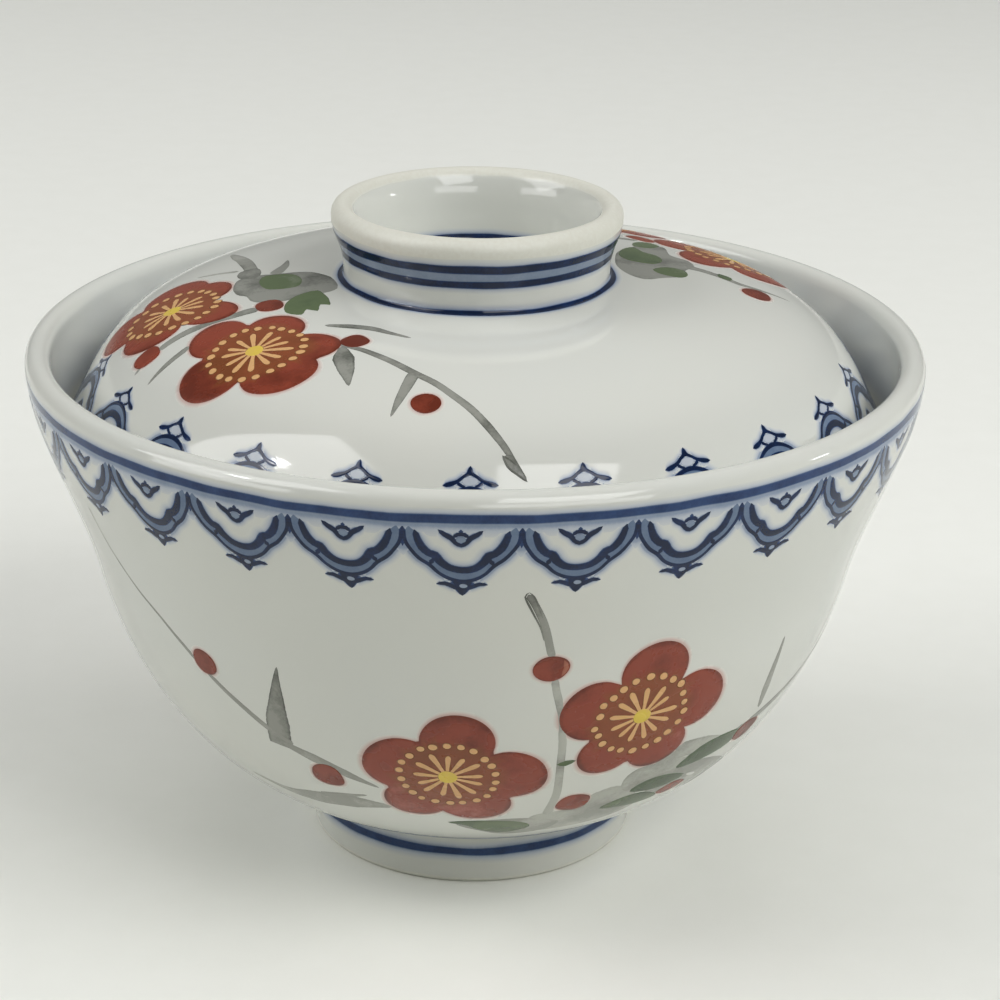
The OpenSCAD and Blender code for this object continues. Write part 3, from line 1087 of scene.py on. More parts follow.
class Lappets(Hand):
    """A border of lappets: its drawing, where its band lies and which way its lappets point."""

    def __init__(self, track, band_length, way, count, start_deg, height_share=1.0):
        self.drawing = Drawing(track)
        self.band_length = band_length
        self.way = way
        self.count = count
        self.start = math.radians(start_deg)
        self.across = FULL_TURN / count / (2 * LAPPET_HALF)
        self.away = way * MM * height_share

    def spot(self, across_mm, away_mm):
        return (self.start + across_mm * self.across, self.band_length + self.away * away_mm)

    def line(self, points, widths_mm, **settings):
        """A blue line, with the colour that has crept out beside it."""
        soft_stroke(self.drawing, *self.run(points, widths_mm), LINE_LIFT, **settings)

    def fine_line(self, points, widths_mm, **settings):
        self.line(points, widths_mm, bleed=SMALL_BLEED, **settings)

    def shade(self, points, widths_mm, lift, tones, **settings):
        """Pale colour with no edge of its own."""
        stroke(self.drawing, *self.run(points, widths_mm), lift, tones=tones, **settings)

    def jewel_light(self, away_mm, across, high, count, lift, tone, edge_tone, edge_lift, aside_mm=0.0):
        """The light heart of a jewel or a finial."""
        patch(self.drawing, self.spot(aside_mm, away_mm), round_edge(across * MM, high * MM, count), lift,
              tone, edge_tone, edge_lift)

    def haze(self):
        """The faint colour under the band, deepest beside it."""
        run = [(self.way * LAPPET_HALF, 0.7), (-self.way * LAPPET_HALF, 0.7)]
        self.shade(run, (3.0, 3.0), HAZE_LIFT, (HAZE_TONE, HAZE_TONE), shape=HAZE_SHAPE,
                   ends=(False, False))

    def joint_haze(self):
        """The faint colour that fills the corner where two lappets meet."""
        self.shade([(LAPPET_HALF, away) for away in (3.0, 4.3, 5.6)], (1.4, 2.4, 1.0),
                   HAZE_LIFT * JOINT_HAZE_LIFT_SHARE, (HAZE_TONE, 0.32, 0.12), shape=CORNER_SHAPE,
                   step=FINE_STEP, ends=(False, True))

    def lappet(self):
        """The scalloped leaf: a fine outer line, a wash, a heavy inner line and joints between them."""
        self.shade(both_sides(LAPPET_WASH), (1.7, 1.7), WASH_LIFT, (0.5, 0.5))
        self.line(both_sides(LAPPET_OUTER), there_and_back(OUTER_WIDTHS))
        self.line(both_sides(LAPPET_INNER), there_and_back(INNER_WIDTHS))
        for side in (-1, 1):
            self.line([(side * 4.8, 7.4), (side * 4.1, 6.0)], (0.8, 1.1))
        self.line([(LAPPET_HALF, 0.6), (LAPPET_HALF, 4.0)], (1.3, 0.6), tones=(0.95, 0.85),
                  bleed=0.3 * MM)

    def jewel(self):
        """The winged jewel that hangs from the band inside each lappet."""
        self.fine_line([(-3.5, 1.0), (-2.5, 1.8), (-1.5, 2.4), (-0.9, 3.2), (-0.1, 3.65), (0.7, 3.2),
                        (1.3, 2.4), (2.3, 1.8), (3.2, 1.1)],
                       (0.5, 0.85, 1.0, 0.8, 0.75, 0.8, 1.0, 0.85, 0.5))
        self.fine_line([(-1.3, 2.3), (-0.6, 1.75), (0.4, 1.75), (1.1, 2.3)], (0.6, 0.75, 0.6))
        self.fine_line([(-0.1, 0.9), (-0.1, 1.6)], (0.5, 1.1), tones=(0.8, 0.95))
        self.jewel_light(2.65, 0.75, 0.55, 14, LINE_LIFT * 1.3, 0.36, 0.6, LINE_LIFT, -0.1)

    def solid_finial(self):
        """The pointed end of each lappet, with its two wings and a small light jewel."""
        self.fine_line([(0.0, 10.4), (0.0, 11.5), (0.05, 13.1)], (3.6, 2.4, 0.45), step=FINE_STEP,
                       ends=(False, True))
        for side in (-1, 1):
            self.fine_line([(side * 3.9, 11.0), (side * 2.652, 10.8), (side * 1.17, 11.4), (0.0, 11.9)],
                           (0.5, 0.85, 1.0, 0.9))
        self.jewel_light(11.15, 0.6, 0.42, 14, LINE_LIFT * 1.3, 0.3, 0.5, LINE_LIFT, 0.15)

    def open_finial(self):
        """The same on the lid, drawn lighter: thin arms that slope down from the point, round a larger
        jewel."""
        self.fine_line([(0.0, 12.5), (0.0, 13.3), (0.05, 14.2)], (1.5, 0.9, 0.35), step=FINE_STEP,
                       ends=(False, True))
        for side in (-1, 1):
            self.fine_line([(0.0, 13.0), (side * 0.9, 12.4), (side * 1.9, 11.6), (side * 3.1, 11.1),
                            (side * 4.2, 10.9)], (0.6, 0.55, 0.6, 0.85, 0.55), step=CLOSE_STEP)
            self.fine_line([(side * 2.0, 11.4), (side * 1.4, 10.9), (side * 0.5, 10.4)],
                           (0.6, 0.5, 0.45), step=CLOSE_STEP)
        self.jewel_light(11.55, 1.2, 0.7, 16, LINE_LIFT * 0.9, 0.2, 0.3, LINE_LIFT * 0.8)

    def finished(self, name, body, lean=0.0):
        self.lappet()
        self.jewel()
        self.joint_haze()
        self.haze()
        lay(self.drawing.piece(name), name, self.drawing.track, BLUE, self.count, body, lean)


RING_COLUMNS = 240
RING_WAVES = (2, 3, 5, 9)
RING_UNEVEN = 0.05
RING_BLEED = 1.1 * MM
RING_PARTS = 5


def closer(shape, parts):
    """The same cross-section with more points, to follow a tight corner."""
    fine = [shape[0]]
    for (out, share), (next_out, next_share) in zip(shape, shape[1:]):
        for k in range(1, parts + 1):
            fine.append((out + (next_out - out) * k / parts, share + (next_share - share) * k / parts))
    return fine


def ring_line(drawing, length, width, tone, seed, lift=LINE_LIFT, bleed=RING_BLEED):
    """A line painted right round while the piece turned, not quite even."""
    swell = hand_swell(RING_WAVES, RING_UNEVEN, seed)
    layers = [(width / 2, lift, tone, STROKE_SHAPE)]
    if bleed:
        layers.insert(0, (width / 2 + bleed, lift * BLEED_LIFT_SHARE, BLEED_TONE, BLEED_SHAPE))
    for half, height, depth, shape in layers:
        rows = []
        for out, share in reversed(closer(shape, RING_PARTS)):
            rows.append([drawing.add(turn, 0.0, length + out * half * swell(turn), height, depth * share)
                         for turn in angles_round(RING_COLUMNS)])
        drawing.join_rows(rows, closed=True)


def ring_lines(name, track, body, lines):
    """Lines round a track as one piece: each a length, a width, a tone, a seed and what else sets it."""
    drawing = Drawing(track)
    for *numbers, settings in lines:
        ring_line(drawing, *numbers, **settings)
    lay(drawing.piece(name), name, track, BLUE, 1, body)


# Where the bowl's band lies, its lappets and the line round its foot
BOWL_BAND = 93.35 * MM
BOWL_BAND_W = 1.45 * MM
BOWL_LAPPETS_FROM = 92.6 * MM
BOWL_LAPPETS = 27
BOWL_LAPPET_TURN = -0.8
FOOT_LINE = FOOT.length_at_height(6.1 * MM)
FOOT_LINE_W = 1.55 * MM
# How far the pale blue reaches each side of the foot line. It reaches further than beside the other lines,
# so the glaze round this line is darker in a wider band.
FOOT_LINE_PALE_REACH = 1.7 * MM

bowl_border = Lappets(WALL, BOWL_LAPPETS_FROM, -1, BOWL_LAPPETS, BOWL_LAPPET_TURN)
bowl_border.solid_finial()
bowl_border.finished("bowl_lappets", "bowl")
ring_lines("bowl_band", WALL, "bowl", [(BOWL_BAND, BOWL_BAND_W, 0.82, 3, {})])
ring_lines("foot_line", FOOT, "bowl", [(FOOT_LINE, FOOT_LINE_W, 0.84, 4, {"bleed": FOOT_LINE_PALE_REACH})])

# The lid's border, the lines on its grip ring and the one inside the ring's foot
LID_BAND = 0.2 * MM
LID_BAND_W = 1.2 * MM
LID_LAPPETS_FROM = 1.05 * MM
LID_LAPPETS = 23
LID_LAPPET_TURN = 0.0
LID_LAPPET_SHARE = 0.9
LID_LAPPET_LEAN = 0.6 * MM
GRIP_LINES = ((107.25, 1.6, 6), (104.6, 1.4, 7), (99.7, 1.1, 8))
GRIP_WASH = DOME_TRACK.length_at_height(106.0 * MM)
GRIP_WASH_W = 2.4 * MM
WELL_LINE = WELL.length_at_height(100.55 * MM)
WELL_LINE_W = 1.0 * MM

lid_border = Lappets(DOME_TRACK, LID_LAPPETS_FROM, 1, LID_LAPPETS, LID_LAPPET_TURN, LID_LAPPET_SHARE)
lid_border.open_finial()
lid_border.finished("lid_lappets", "lid", LID_LAPPET_LEAN)
lid_lines = [(LID_BAND, LID_BAND_W, 0.8, 5, {})]
for height_mm, width_mm, seed in GRIP_LINES:
    lid_lines.append((DOME_TRACK.length_at_height(height_mm * MM), width_mm * MM, 1.0, seed, {}))
lid_lines.append((GRIP_WASH, GRIP_WASH_W, 0.36, 12, {"lift": WASH_LIFT, "bleed": 0.0}))
ring_lines("lid_lines", DOME_TRACK, "lid", lid_lines)
ring_lines("well_line", WELL, "lid", [(WELL_LINE, WELL_LINE_W, 0.95, 11, {})])


# The plum sprays. A spot is (turn in degrees, length along the track in millimetres)

STAINED_TO = 8.5 * MM
FLOWER_EDGE_TONE = 0.9
PETAL_SHARPNESS = 8
BUD_BLEED = 0.64 * MM
LEAF_STEP = 1.2 * MM


class Spray(Hand):
    """A painted spray, as a drawing for each colour. Its shift turns what is drawn next round the piece."""

    def __init__(self, name, track, body):
        self.name = name
        self.track = track
        self.body = body
        self.shift = 0.0
        self.red = Drawing(track, RED_LIFT)
        self.grey = Drawing(track, GREY_LIFT)
        self.green = Drawing(track, GREEN_LIFT)
        self.middles = []

    def spot(self, turn_deg, along_mm):
        return (math.radians(turn_deg + self.shift), along_mm * MM)

    def flat(self, middle, other):
        """Where another spot lies, across and along from a middle."""
        radius = self.track.radius((middle[1] + other[1]) / 2)
        return Vector(((other[0] - middle[0]) * radius, other[1] - middle[1]))

    def flower(self, middle_pair, petals):
        """Round petals about a middle, each a turn, a length, a radius and how deep its red lies."""
        middle = self.spot(*middle_pair)
        discs = [(self.flat(middle, self.spot(turn, along)), radius * MM)
                 for turn, along, radius, _ in petals]
        edge = petals_edge(discs)
        depths = []
        for p in edge:
            nearness = [max(0.0, unit(p).dot(unit(centre)))**PETAL_SHARPNESS for centre, _ in discs]
            depths.append(sum(n * petal[3] for n, petal in zip(nearness, petals)) / sum(nearness))
        halo(self.red, middle, edge, RED_BLEED, RED_LIFT * BLEED_LIFT_SHARE, RED_HALO_TONE)
        patch(self.red, middle, edge, RED_LIFT, depths, FLOWER_EDGE_TONE, EDGE_DIP, STAINED_TO)
        self.middles.append(middle)

    def bud(self, turn_deg, along_mm, across_mm, high_mm, tone, seed, edge_tone=0.98):
        middle = self.spot(turn_deg, along_mm)
        edge = round_edge(across_mm * MM, high_mm * MM, seed=seed)
        halo(self.red, middle, edge, BUD_BLEED, RED_LIFT * BLEED_LIFT_SHARE, RED_HALO_TONE)
        patch(self.red, middle, edge, RED_LIFT, tone, edge_tone, EDGE_DIP)

    def brush(self, pairs, widths_mm, tones, paint=None, raised=1.0, **settings):
        """A stroke of a loaded brush, grey if no other paint is named."""
        drawing = paint or self.grey
        stroke(drawing, *self.run(pairs, widths_mm), drawing.lift * raised, tones=tones,
               shape=RIMMED_SHAPE, edge_lift=EDGE_DIP, **settings)

    def filled(self, drawing, middle_pair, pairs, tone, raised=1.0, edge_share=1.1):
        """A patch filled out to a smooth edge."""
        middle = self.spot(*middle_pair)
        edge = smooth_run([self.flat(middle, self.spot(*p)) for p in pairs], LEAF_STEP, closed=True)
        patch(drawing, middle, edge, drawing.lift * raised, tone, tone * edge_share, EDGE_DIP)

    def wash(self, middle_pair, pairs, tone, **settings):
        """A grey leaf, or a pool of grey wash under green ones."""
        self.filled(self.grey, middle_pair, pairs, tone, **settings)

    def leaf(self, middle_pair, pairs, tone):
        self.filled(self.green, middle_pair, pairs, tone)

    def finished(self, copies):
        for word, drawing, paint in (("grey", self.grey, GREY_ENAMEL), ("green", self.green, GREEN_ENAMEL),
                                     ("red", self.red, RED_ENAMEL)):
            name = self.name + "_" + word
            lay(drawing.piece(name), name, self.track, paint, copies, self.body)
        self.stamens(self.name + "_stamens", copies)

    def stamens(self, name, copies):
        mesh = bpy.data.meshes.new(name)
        mesh.from_pydata([(0.0, along, 0.0) for _, along in self.middles], [], [])
        turns = mesh.attributes.new("turn", "FLOAT", "POINT")
        turns.data.foreach_set("value", [turn for turn, _ in self.middles])
        middles = new_object(name, mesh)
        ray, dot, heart = stamen_marks()
        use_tree(middles, STAMENS, Ray=ray, Dot=dot, Heart=heart, Enamel=YELLOW_ENAMEL)
        lay(middles, name, self.track, YELLOW_ENAMEL, copies, self.body)
        for mark in (ray, dot, heart):
            bpy.data.objects.remove(mark)


BROWN_TONE = 0.25
BROWN_EDGE_SHARE = 0.7
MARK_EDGE_SHARE = 0.85
HEART_LIFT_SHARE = 1.15
RAY_MIDDLE = 3.0 * MM
RAY_RUN = ((0.0, 0.6), (0.24, 0.7), (0.3, 2.4), (0.44, 4.3), (0.42, 5.2), (0.0, 5.65))


def flat_mark(name, middle, edge, tone, edge_tone, lift, grow):
    """A raised mark of yellow enamel over a slightly larger brown one."""
    drawing = Drawing()
    under = [p * (1 + grow / p.length) for p in edge]
    patch(drawing, (0.0, middle), under, lift * MARK_EDGE_SHARE, BROWN_TONE, BROWN_TONE,
          lift * BROWN_EDGE_SHARE)
    patch(drawing, (0.0, middle), edge, lift, tone, edge_tone, lift * MARK_EDGE_SHARE)
    return drawing.piece(name, ("tone",))


def stamen_marks():
    """The ray, the dot and the heart that the flowers' stamens repeat."""
    right = [Vector((x * MM, y * MM - RAY_MIDDLE)) for x, y in RAY_RUN]
    left = [Vector((-p.x, p.y)) for p in right[-2:0:-1]]
    ray_edge = smooth_run(right + left, 1.0 * MM, closed=True)
    dot_edge = round_edge(0.64 * MM, 0.66 * MM, 12)
    heart_edge = round_edge(1.5 * MM, 1.6 * MM, 20)
    ray = flat_mark("stamen_ray", RAY_MIDDLE, ray_edge, tone=0.66, edge_tone=0.55, lift=YELLOW_LIFT,
                    grow=0.14 * MM)
    dot = flat_mark("stamen_dot", 0.0, dot_edge, tone=0.64, edge_tone=0.55, lift=YELLOW_LIFT,
                    grow=0.16 * MM)
    heart = flat_mark("stamen_heart", 0.0, heart_edge, tone=0.97, edge_tone=0.9,
                      lift=YELLOW_LIFT * HEART_LIFT_SHARE, grow=0.1 * MM)
    return ray, dot, heart


def paint_bowl_spray():
    """Two flowers low on the wall, a stem that stands up between them and twigs to both sides."""
    spray = Spray("bowl_spray", WALL, "bowl")
    # Two open flowers and their buds
    spray.flower((-3.1, 40.5), ((-1.5, 49.1, 6.0, 0.78), (6.4, 40.7, 6.2, 0.7), (1.0, 32.7, 5.9, 0.6),
                                (-8.5, 33.1, 5.4, 0.6), (-10.2, 42.7, 6.6, 0.72)))
    spray.flower((25.4, 51.7), ((26.2, 60.7, 5.9, 0.72), (33.9, 52.6, 6.1, 0.7),
                                (29.7, 43.6, 5.3, 0.62), (21.3, 44.2, 5.1, 0.62),
                                (17.9, 54.0, 6.0, 0.7)))
    spray.bud(-40.7, 56.3, 2.5, 2.5, 0.8, 1)
    spray.bud(-23.3, 36.8, 2.9, 3.0, 0.85, 2)
    spray.bud(10.9, 63.7, 2.9, 2.6, 0.85, 3)
    # A thin orange-brown stroke down the right side of the bud that sits on the stem.
    spray.brush(((12.5, 65.3), (12.9, 63.8), (12.4, 62.2)), (0.8, 1.1, 0.7), (0.3, 0.3),
                paint=spray.red, raised=1.1, stain=1.0)
    spray.bud(18.3, 30.8, 3.0, 2.8, 0.8, 4)
    spray.bud(52.0, 38.0, 3.0, 2.6, 0.9, 5)
    spray.bud(40.5, 26.9, 2.8, 2.0, 0.7, 6, 0.8)
    # The twig at the left, its standing leaf and the one that lies along the foot
    spray.brush(((-58.4, 79.0), (-57.2, 72.0), (-53.6, 66.0), (-48.5, 61.3), (-42.5, 55.9),
                 (-37.0, 50.6), (-32.1, 46.3), (-27.7, 43.4)),
                (0.35, 0.45, 0.6, 0.7, 0.9, 1.1, 1.3, 1.4), (0.35, 0.5, 0.6, 0.6, 0.62))
    spray.brush(((-29.6, 43.2), (-25.0, 41.0), (-20.0, 38.4), (-14.6, 35.6)), (1.3, 2.4, 2.2, 0.5),
                (0.6, 0.5, 0.62))
    spray.brush(((-27.2, 60.0), (-28.4, 53.0), (-29.4, 47.5), (-30.2, 42.3)), (0.3, 2.6, 4.6, 4.4),
                (0.9, 0.8, 0.74), ends=(True, False))
    spray.brush(((-43.8, 28.4), (-36.0, 26.7), (-28.5, 27.6), (-21.0, 29.2), (-13.5, 29.6)),
                (0.5, 2.0, 4.6, 5.0, 1.0), (0.45, 0.55, 0.58, 0.6))
    spray.brush(((-27.0, 29.6), (-21.0, 31.4), (-17.4, 32.5)), (1.8, 1.4, 0.5), (0.6, 0.62))
    # The stem between the flowers, dark along both edges of its tip
    spray.brush(((7.0, 79.4), (8.4, 76.1), (9.7, 71.8), (10.8, 66.1), (11.8, 59.8), (12.8, 54.8),
                 (13.6, 48.2), (14.2, 40.7), (14.5, 34.0), (14.2, 27.0)),
                (1.2, 1.3, 1.35, 1.35, 1.3, 1.35, 1.4, 1.5, 1.9),
                (0.9, 0.66, 0.4, 0.32, 0.36, 0.38, 0.32, 0.28))
    spray.brush(((7.1, 79.8), (6.65, 78.9), (7.5, 76.4), (8.9, 72.4), (9.6, 69.4)),
                (0.2, 0.4, 0.32, 0.28, 0.16), (1.0, 0.95, 0.75), raised=1.4)
    spray.brush(((7.1, 79.8), (7.75, 78.9), (8.45, 76.7), (9.6, 72.6)), (0.2, 0.34, 0.28, 0.16),
                (1.0, 0.9, 0.7), raised=1.4)
    # The twigs at the right
    spray.brush(((50.9, 58.6), (50.8, 50.7), (51.3, 46.5), (52.2, 43.2)), (0.5, 1.5, 2.1, 0.9),
                (0.6, 0.5))
    spray.brush(((31.3, 36.6), (34.8, 40.0), (41.0, 39.6), (46.0, 38.6)), (3.0, 4.6, 4.4, 1.6),
                (0.4, 0.42, 0.4))
    spray.brush(((44.0, 37.6), (50.0, 39.4), (58.0, 42.4), (66.0, 45.4), (76.0, 50.0), (90.0, 57.0)),
                (2.0, 2.4, 2.2, 2.0, 1.5, 0.6), (0.62, 0.66, 0.6, 0.5))
    # Grey leaves, and the green ones over them
    spray.wash((33.0, 35.0), ((26.2, 35.5), (28.0, 38.2), (31.7, 38.6), (36.0, 38.2), (40.0, 36.5),
                              (41.0, 33.0), (33.0, 31.0), (27.5, 31.5)), 0.42)
    spray.wash((41.0, 31.0), ((31.0, 33.0), (36.0, 35.0), (43.2, 34.4), (52.0, 30.5), (60.0, 23.0),
                              (58.0, 20.5), (51.0, 21.5), (43.0, 24.7), (35.0, 27.5)), 0.5, raised=1.2)
    spray.wash((21.0, 25.5), ((11.0, 26.6), (16.6, 28.4), (20.8, 32.4), (25.6, 34.0), (30.0, 31.0),
                              (33.5, 25.0), (30.0, 20.5), (22.0, 18.5), (13.0, 19.0)), 0.38, raised=0.8)
    spray.wash((6.0, 22.5), ((-2.5, 24.4), (5.0, 26.2), (12.0, 26.0), (18.0, 23.0), (15.0, 18.5),
                             (8.0, 17.5), (2.5, 20.0)), 0.5)
    spray.leaf((5.0, 23.2), ((-4.0, 25.0), (3.0, 25.9), (10.0, 24.6), (12.0, 21.5), (7.0, 19.0),
                             (1.5, 21.2), (-0.6, 23.6)), 0.76)
    spray.leaf((34.5, 31.4), ((29.0, 30.6), (31.2, 33.5), (36.1, 33.6), (41.4, 30.6), (36.3, 29.0)),
               1.0)
    spray.leaf((31.0, 27.0), ((24.8, 26.0), (28.5, 29.0), (33.5, 28.8), (38.0, 25.4), (33.6, 24.2)),
               0.84)
    spray.leaf((43.0, 37.0), ((37.0, 34.6), (40.0, 39.4), (45.0, 40.2), (50.0, 39.2), (47.6, 35.2)),
               1.0)
    spray.leaf((14.9, 43.0), ((13.4, 42.9), (14.8, 43.7), (16.4, 43.5), (14.9, 42.4)), 0.85)
    spray.finished(copies=2)


def lid_twig(spray):
    """The flower and the long twig that both sides of the lid have."""
    spray.flower((-46.6, 29.5), ((-48.4, 21.2, 5.7, 0.98), (-36.9, 26.6, 5.9, 0.84),
                                 (-38.5, 34.5, 5.1, 0.74), (-51.1, 36.1, 5.3, 0.66),
                                 (-58.2, 28.6, 5.5, 0.72)))
    spray.bud(-7.7, 24.6, 2.4, 2.3, 0.98, 7, 1.1)
    spray.bud(-29.8, 39.4, 2.4, 2.2, 0.98, 9)
    spray.brush(((-32.0, 37.4), (-26.0, 37.2), (-19.0, 35.4), (-12.0, 32.4), (-6.0, 29.0), (0.0, 23.6),
                 (4.0, 17.8), (5.9, 14.4), (7.6, 10.9)),
                (1.2, 1.2, 1.4, 1.4, 1.4, 1.4, 1.4, 1.4, 1.1, 0.4),
                (0.9, 0.8, 0.76, 0.74, 0.74, 0.8, 0.9))
    spray.wash((5.7, 13.6), ((5.9, 15.0), (4.6, 14.8), (5.3, 13.0), (7.6, 10.8), (6.6, 13.2)), 0.85,
               raised=1.1, edge_share=1.3)
    spray.brush(((4.5, 15.0), (5.2, 13.1), (6.3, 12.0), (7.7, 10.7)), (0.35, 0.4, 0.4, 0.3), (1.0, 1.0),
                raised=1.5)
    spray.brush(((4.5, 15.0), (5.6, 14.2), (6.3, 13.4)), (0.35, 0.35, 0.3), (1.0, 1.0), raised=1.5)
    spray.brush(((-31.0, 37.0), (-27.0, 33.0), (-24.0, 29.4), (-22.3, 26.9)), (1.4, 3.8, 2.8, 0.4),
                (0.9, 0.82, 0.9))
    spray.brush(((-11.6, 32.4), (-11.9, 29.0), (-12.3, 24.8), (-12.8, 21.2)), (2.2, 1.9, 1.4, 0.3),
                (0.72, 0.75, 0.85))
    spray.brush(((-42.6, 41.9), (-36.0, 43.8), (-30.0, 44.6), (-24.0, 44.1), (-17.2, 43.3)),
                (0.8, 1.7, 1.6, 1.1, 0.5), (0.9, 0.85, 0.8))


def lid_near_side(spray):
    """The second flower of the near side, with its buds, stem and leaves beside the grip ring."""
    spray.flower((-79.6, 25.8), ((-89.6, 26.1, 5.7, 0.66), (-85.0, 31.1, 5.2, 0.66),
                                 (-72.4, 31.1, 4.9, 0.62), (-73.3, 21.1, 5.4, 0.72),
                                 (-82.8, 17.2, 5.6, 0.66)))
    spray.bud(-66.3, 18.4, 2.5, 2.7, 0.72, 8)
    spray.bud(-65.6, 40.3, 2.7, 2.4, 0.92, 10)
    spray.brush(((-65.4, 38.6), (-66.0, 33.0), (-66.5, 26.0), (-65.6, 19.5), (-64.6, 15.0)),
                (2.6, 2.4, 2.2, 1.6, 0.6), (0.78, 0.75, 0.62))
    spray.brush(((-60.5, 24.6), (-59.8, 19.0), (-59.4, 15.2)), (1.6, 1.3, 0.4), (0.75, 0.7))
    spray.brush(((-94.0, 38.7), (-99.0, 38.2), (-106.8, 35.3), (-112.0, 32.0), (-116.0, 29.0)),
                (2.6, 2.5, 2.6, 2.2, 0.8), (0.66, 0.62, 0.55))
    spray.brush(((-92.0, 43.0), (-100.0, 43.8), (-106.3, 43.3)), (2.6, 1.8, 0.4), (0.7, 0.66))
    spray.brush(((-98.0, 36.2), (-98.4, 32.0), (-98.5, 28.7)), (1.2, 1.0, 0.4), (0.5, 0.45))
    spray.wash((-80.0, 45.0), ((-93.5, 38.0), (-92.8, 43.0), (-91.9, 48.2), (-88.6, 50.8),
                               (-83.9, 52.6), (-78.1, 53.3), (-71.4, 53.0), (-67.7, 51.0),
                               (-67.0, 46.5), (-66.0, 42.0), (-70.0, 38.6), (-75.5, 38.0),
                               (-78.7, 36.6), (-87.0, 36.2)), 0.8)
    spray.leaf((-62.5, 45.5), ((-69.8, 49.5), (-62.5, 49.7), (-57.8, 48.9), (-54.7, 48.0),
                               (-56.8, 47.0), (-52.4, 45.1), (-55.8, 44.3), (-53.1, 42.4),
                               (-57.3, 41.2), (-62.0, 42.0), (-66.0, 43.6), (-69.0, 46.0)), 0.62)
    spray.leaf((-84.5, 43.8), ((-91.5, 41.5), (-90.5, 46.0), (-84.0, 47.8), (-77.0, 46.6),
                               (-78.0, 42.0), (-86.0, 40.6)), 0.58)
    spray.wash((-95.0, 38.6), ((-99.5, 39.2), (-95.0, 40.6), (-90.0, 39.8), (-91.5, 37.0),
                               (-97.0, 36.6)), 0.9, raised=1.3)


def lid_far_side(spray):
    """One flower, a cluster of leaves and a bud, painted a little differently from the near side."""
    spray.flower((120.0, 25.0), ((109.8, 24.5, 5.6, 0.6), (117.3, 16.6, 5.5, 0.7),
                                 (128.5, 20.3, 5.5, 0.66), (127.5, 30.4, 5.5, 0.6),
                                 (115.9, 32.6, 5.3, 0.66)))
    spray.bud(91.2, 29.7, 2.7, 2.6, 0.92, 11)
    spray.bud(135.0, 36.4, 3.0, 1.7, 0.66, 13)
    spray.wash((110.0, 45.5), ((89.9, 49.0), (96.2, 51.8), (106.2, 52.6), (116.1, 50.7), (123.3, 48.0),
                               (127.4, 43.8), (131.5, 39.5), (127.4, 37.1), (117.9, 39.5),
                               (112.0, 37.8), (105.2, 38.4), (101.5, 40.7), (94.4, 42.6), (92.0, 45.7)),
               0.72)
    spray.leaf((99.0, 43.8), ((94.0, 43.0), (96.0, 46.0), (101.0, 46.8), (104.0, 44.0), (102.0, 41.2),
                              (97.0, 41.2)), 0.62)
    spray.leaf((117.0, 46.0), ((107.0, 45.6), (111.0, 49.0), (118.0, 49.6), (125.0, 47.0),
                               (127.4, 43.4), (121.0, 43.8), (116.0, 42.6), (110.0, 43.2)), 0.7)
    spray.leaf((128.5, 40.0), ((124.5, 40.6), (128.0, 42.6), (131.5, 40.6), (131.0, 37.8),
                               (126.5, 37.4)), 0.6)
    spray.brush(((106.5, 40.5), (103.5, 37.6), (99.5, 34.6), (96.2, 32.0), (95.1, 28.4), (94.3, 23.4)),
                (3.0, 2.2, 1.7, 1.5, 1.0, 0.3), (0.72, 0.75, 0.66, 0.5))
    spray.leaf((100.0, 34.0), ((102.0, 34.8), (99.6, 35.4), (97.4, 33.6), (99.8, 33.0)), 0.75)
    spray.brush(((133.5, 38.4), (138.5, 41.0), (145.0, 43.6), (152.0, 45.0)), (1.6, 1.9, 1.5, 0.4),
                (0.75, 0.6))


LID_FAR_TURN = 201.0


def paint_lid_spray():
    spray = Spray("lid_spray", DOME_TRACK, "lid")
    for shift in (0.0, LID_FAR_TURN):
        spray.shift = shift
        lid_twig(spray)
    spray.shift = 0.0
    lid_near_side(spray)
    lid_far_side(spray)
    spray.finished(copies=1)


paint_bowl_spray()
paint_lid_spray()

for track in (WALL, FOOT, DOME_TRACK, WELL):
    bpy.data.objects.remove(track.object)


# Floor, light and camera

FLOOR_HALF = 1.4
FLOOR_SOLID = 0.74
FLOOR_GONE = 1.3
FLOOR_ROUGH = 0.9
FLOOR_SPECULAR = 0.2


def floor_material():
    """Plain pale card with the faintest cloudiness, that fades away into the room far from the bowl."""
    m = Finish("pale_card")
    _, fine = unevenness(m, Slow_Scale=6.0, Fine_Scale=120.0)
    m.shade({"Base Color": m.mixed(m.mapped(fine, *NOISE_SPAN, *CARD_CLOUDED), FLOOR, FLOOR_CLOUD),
             "Roughness": FLOOR_ROUGH, "Specular IOR Level": FLOOR_SPECULAR})
    far = m.one("ShaderNodeVectorMath", [m.place()], "Value", operation="LENGTH")
    faded = m.one("ShaderNodeMapRange", {"Value": far, "From Min": FLOOR_SOLID, "From Max": FLOOR_GONE},
                  interpolation_type="SMOOTHSTEP")
    card = Value(m, m.shader.outputs[0])
    clear = m.one("ShaderNodeBsdfTransparent")
    m.tree.links.new(m.one("ShaderNodeMixShader", [faded, card, clear]).socket, m.surface)
    return m.material


def lay_floor():
    mesh = bpy.data.meshes.new("floor")
    corners = [(x * FLOOR_HALF, y * FLOOR_HALF, 0) for x, y in ((-1, -1), (1, -1), (1, 1), (-1, 1))]
    mesh.from_pydata(corners, [], [(0, 1, 2, 3)])
    floor = new_object("floor", mesh)
    floor.data.materials.append(floor_material())


lay_floor()

ROOM = colour(226, 228, 222)
ROOM_LIGHT = 0.01
ROOM_SEEN = 0.96
ROOM_IN_GLAZE = 0.25
SEEN_BY = ("Camera", "Glossy", "Transmission")


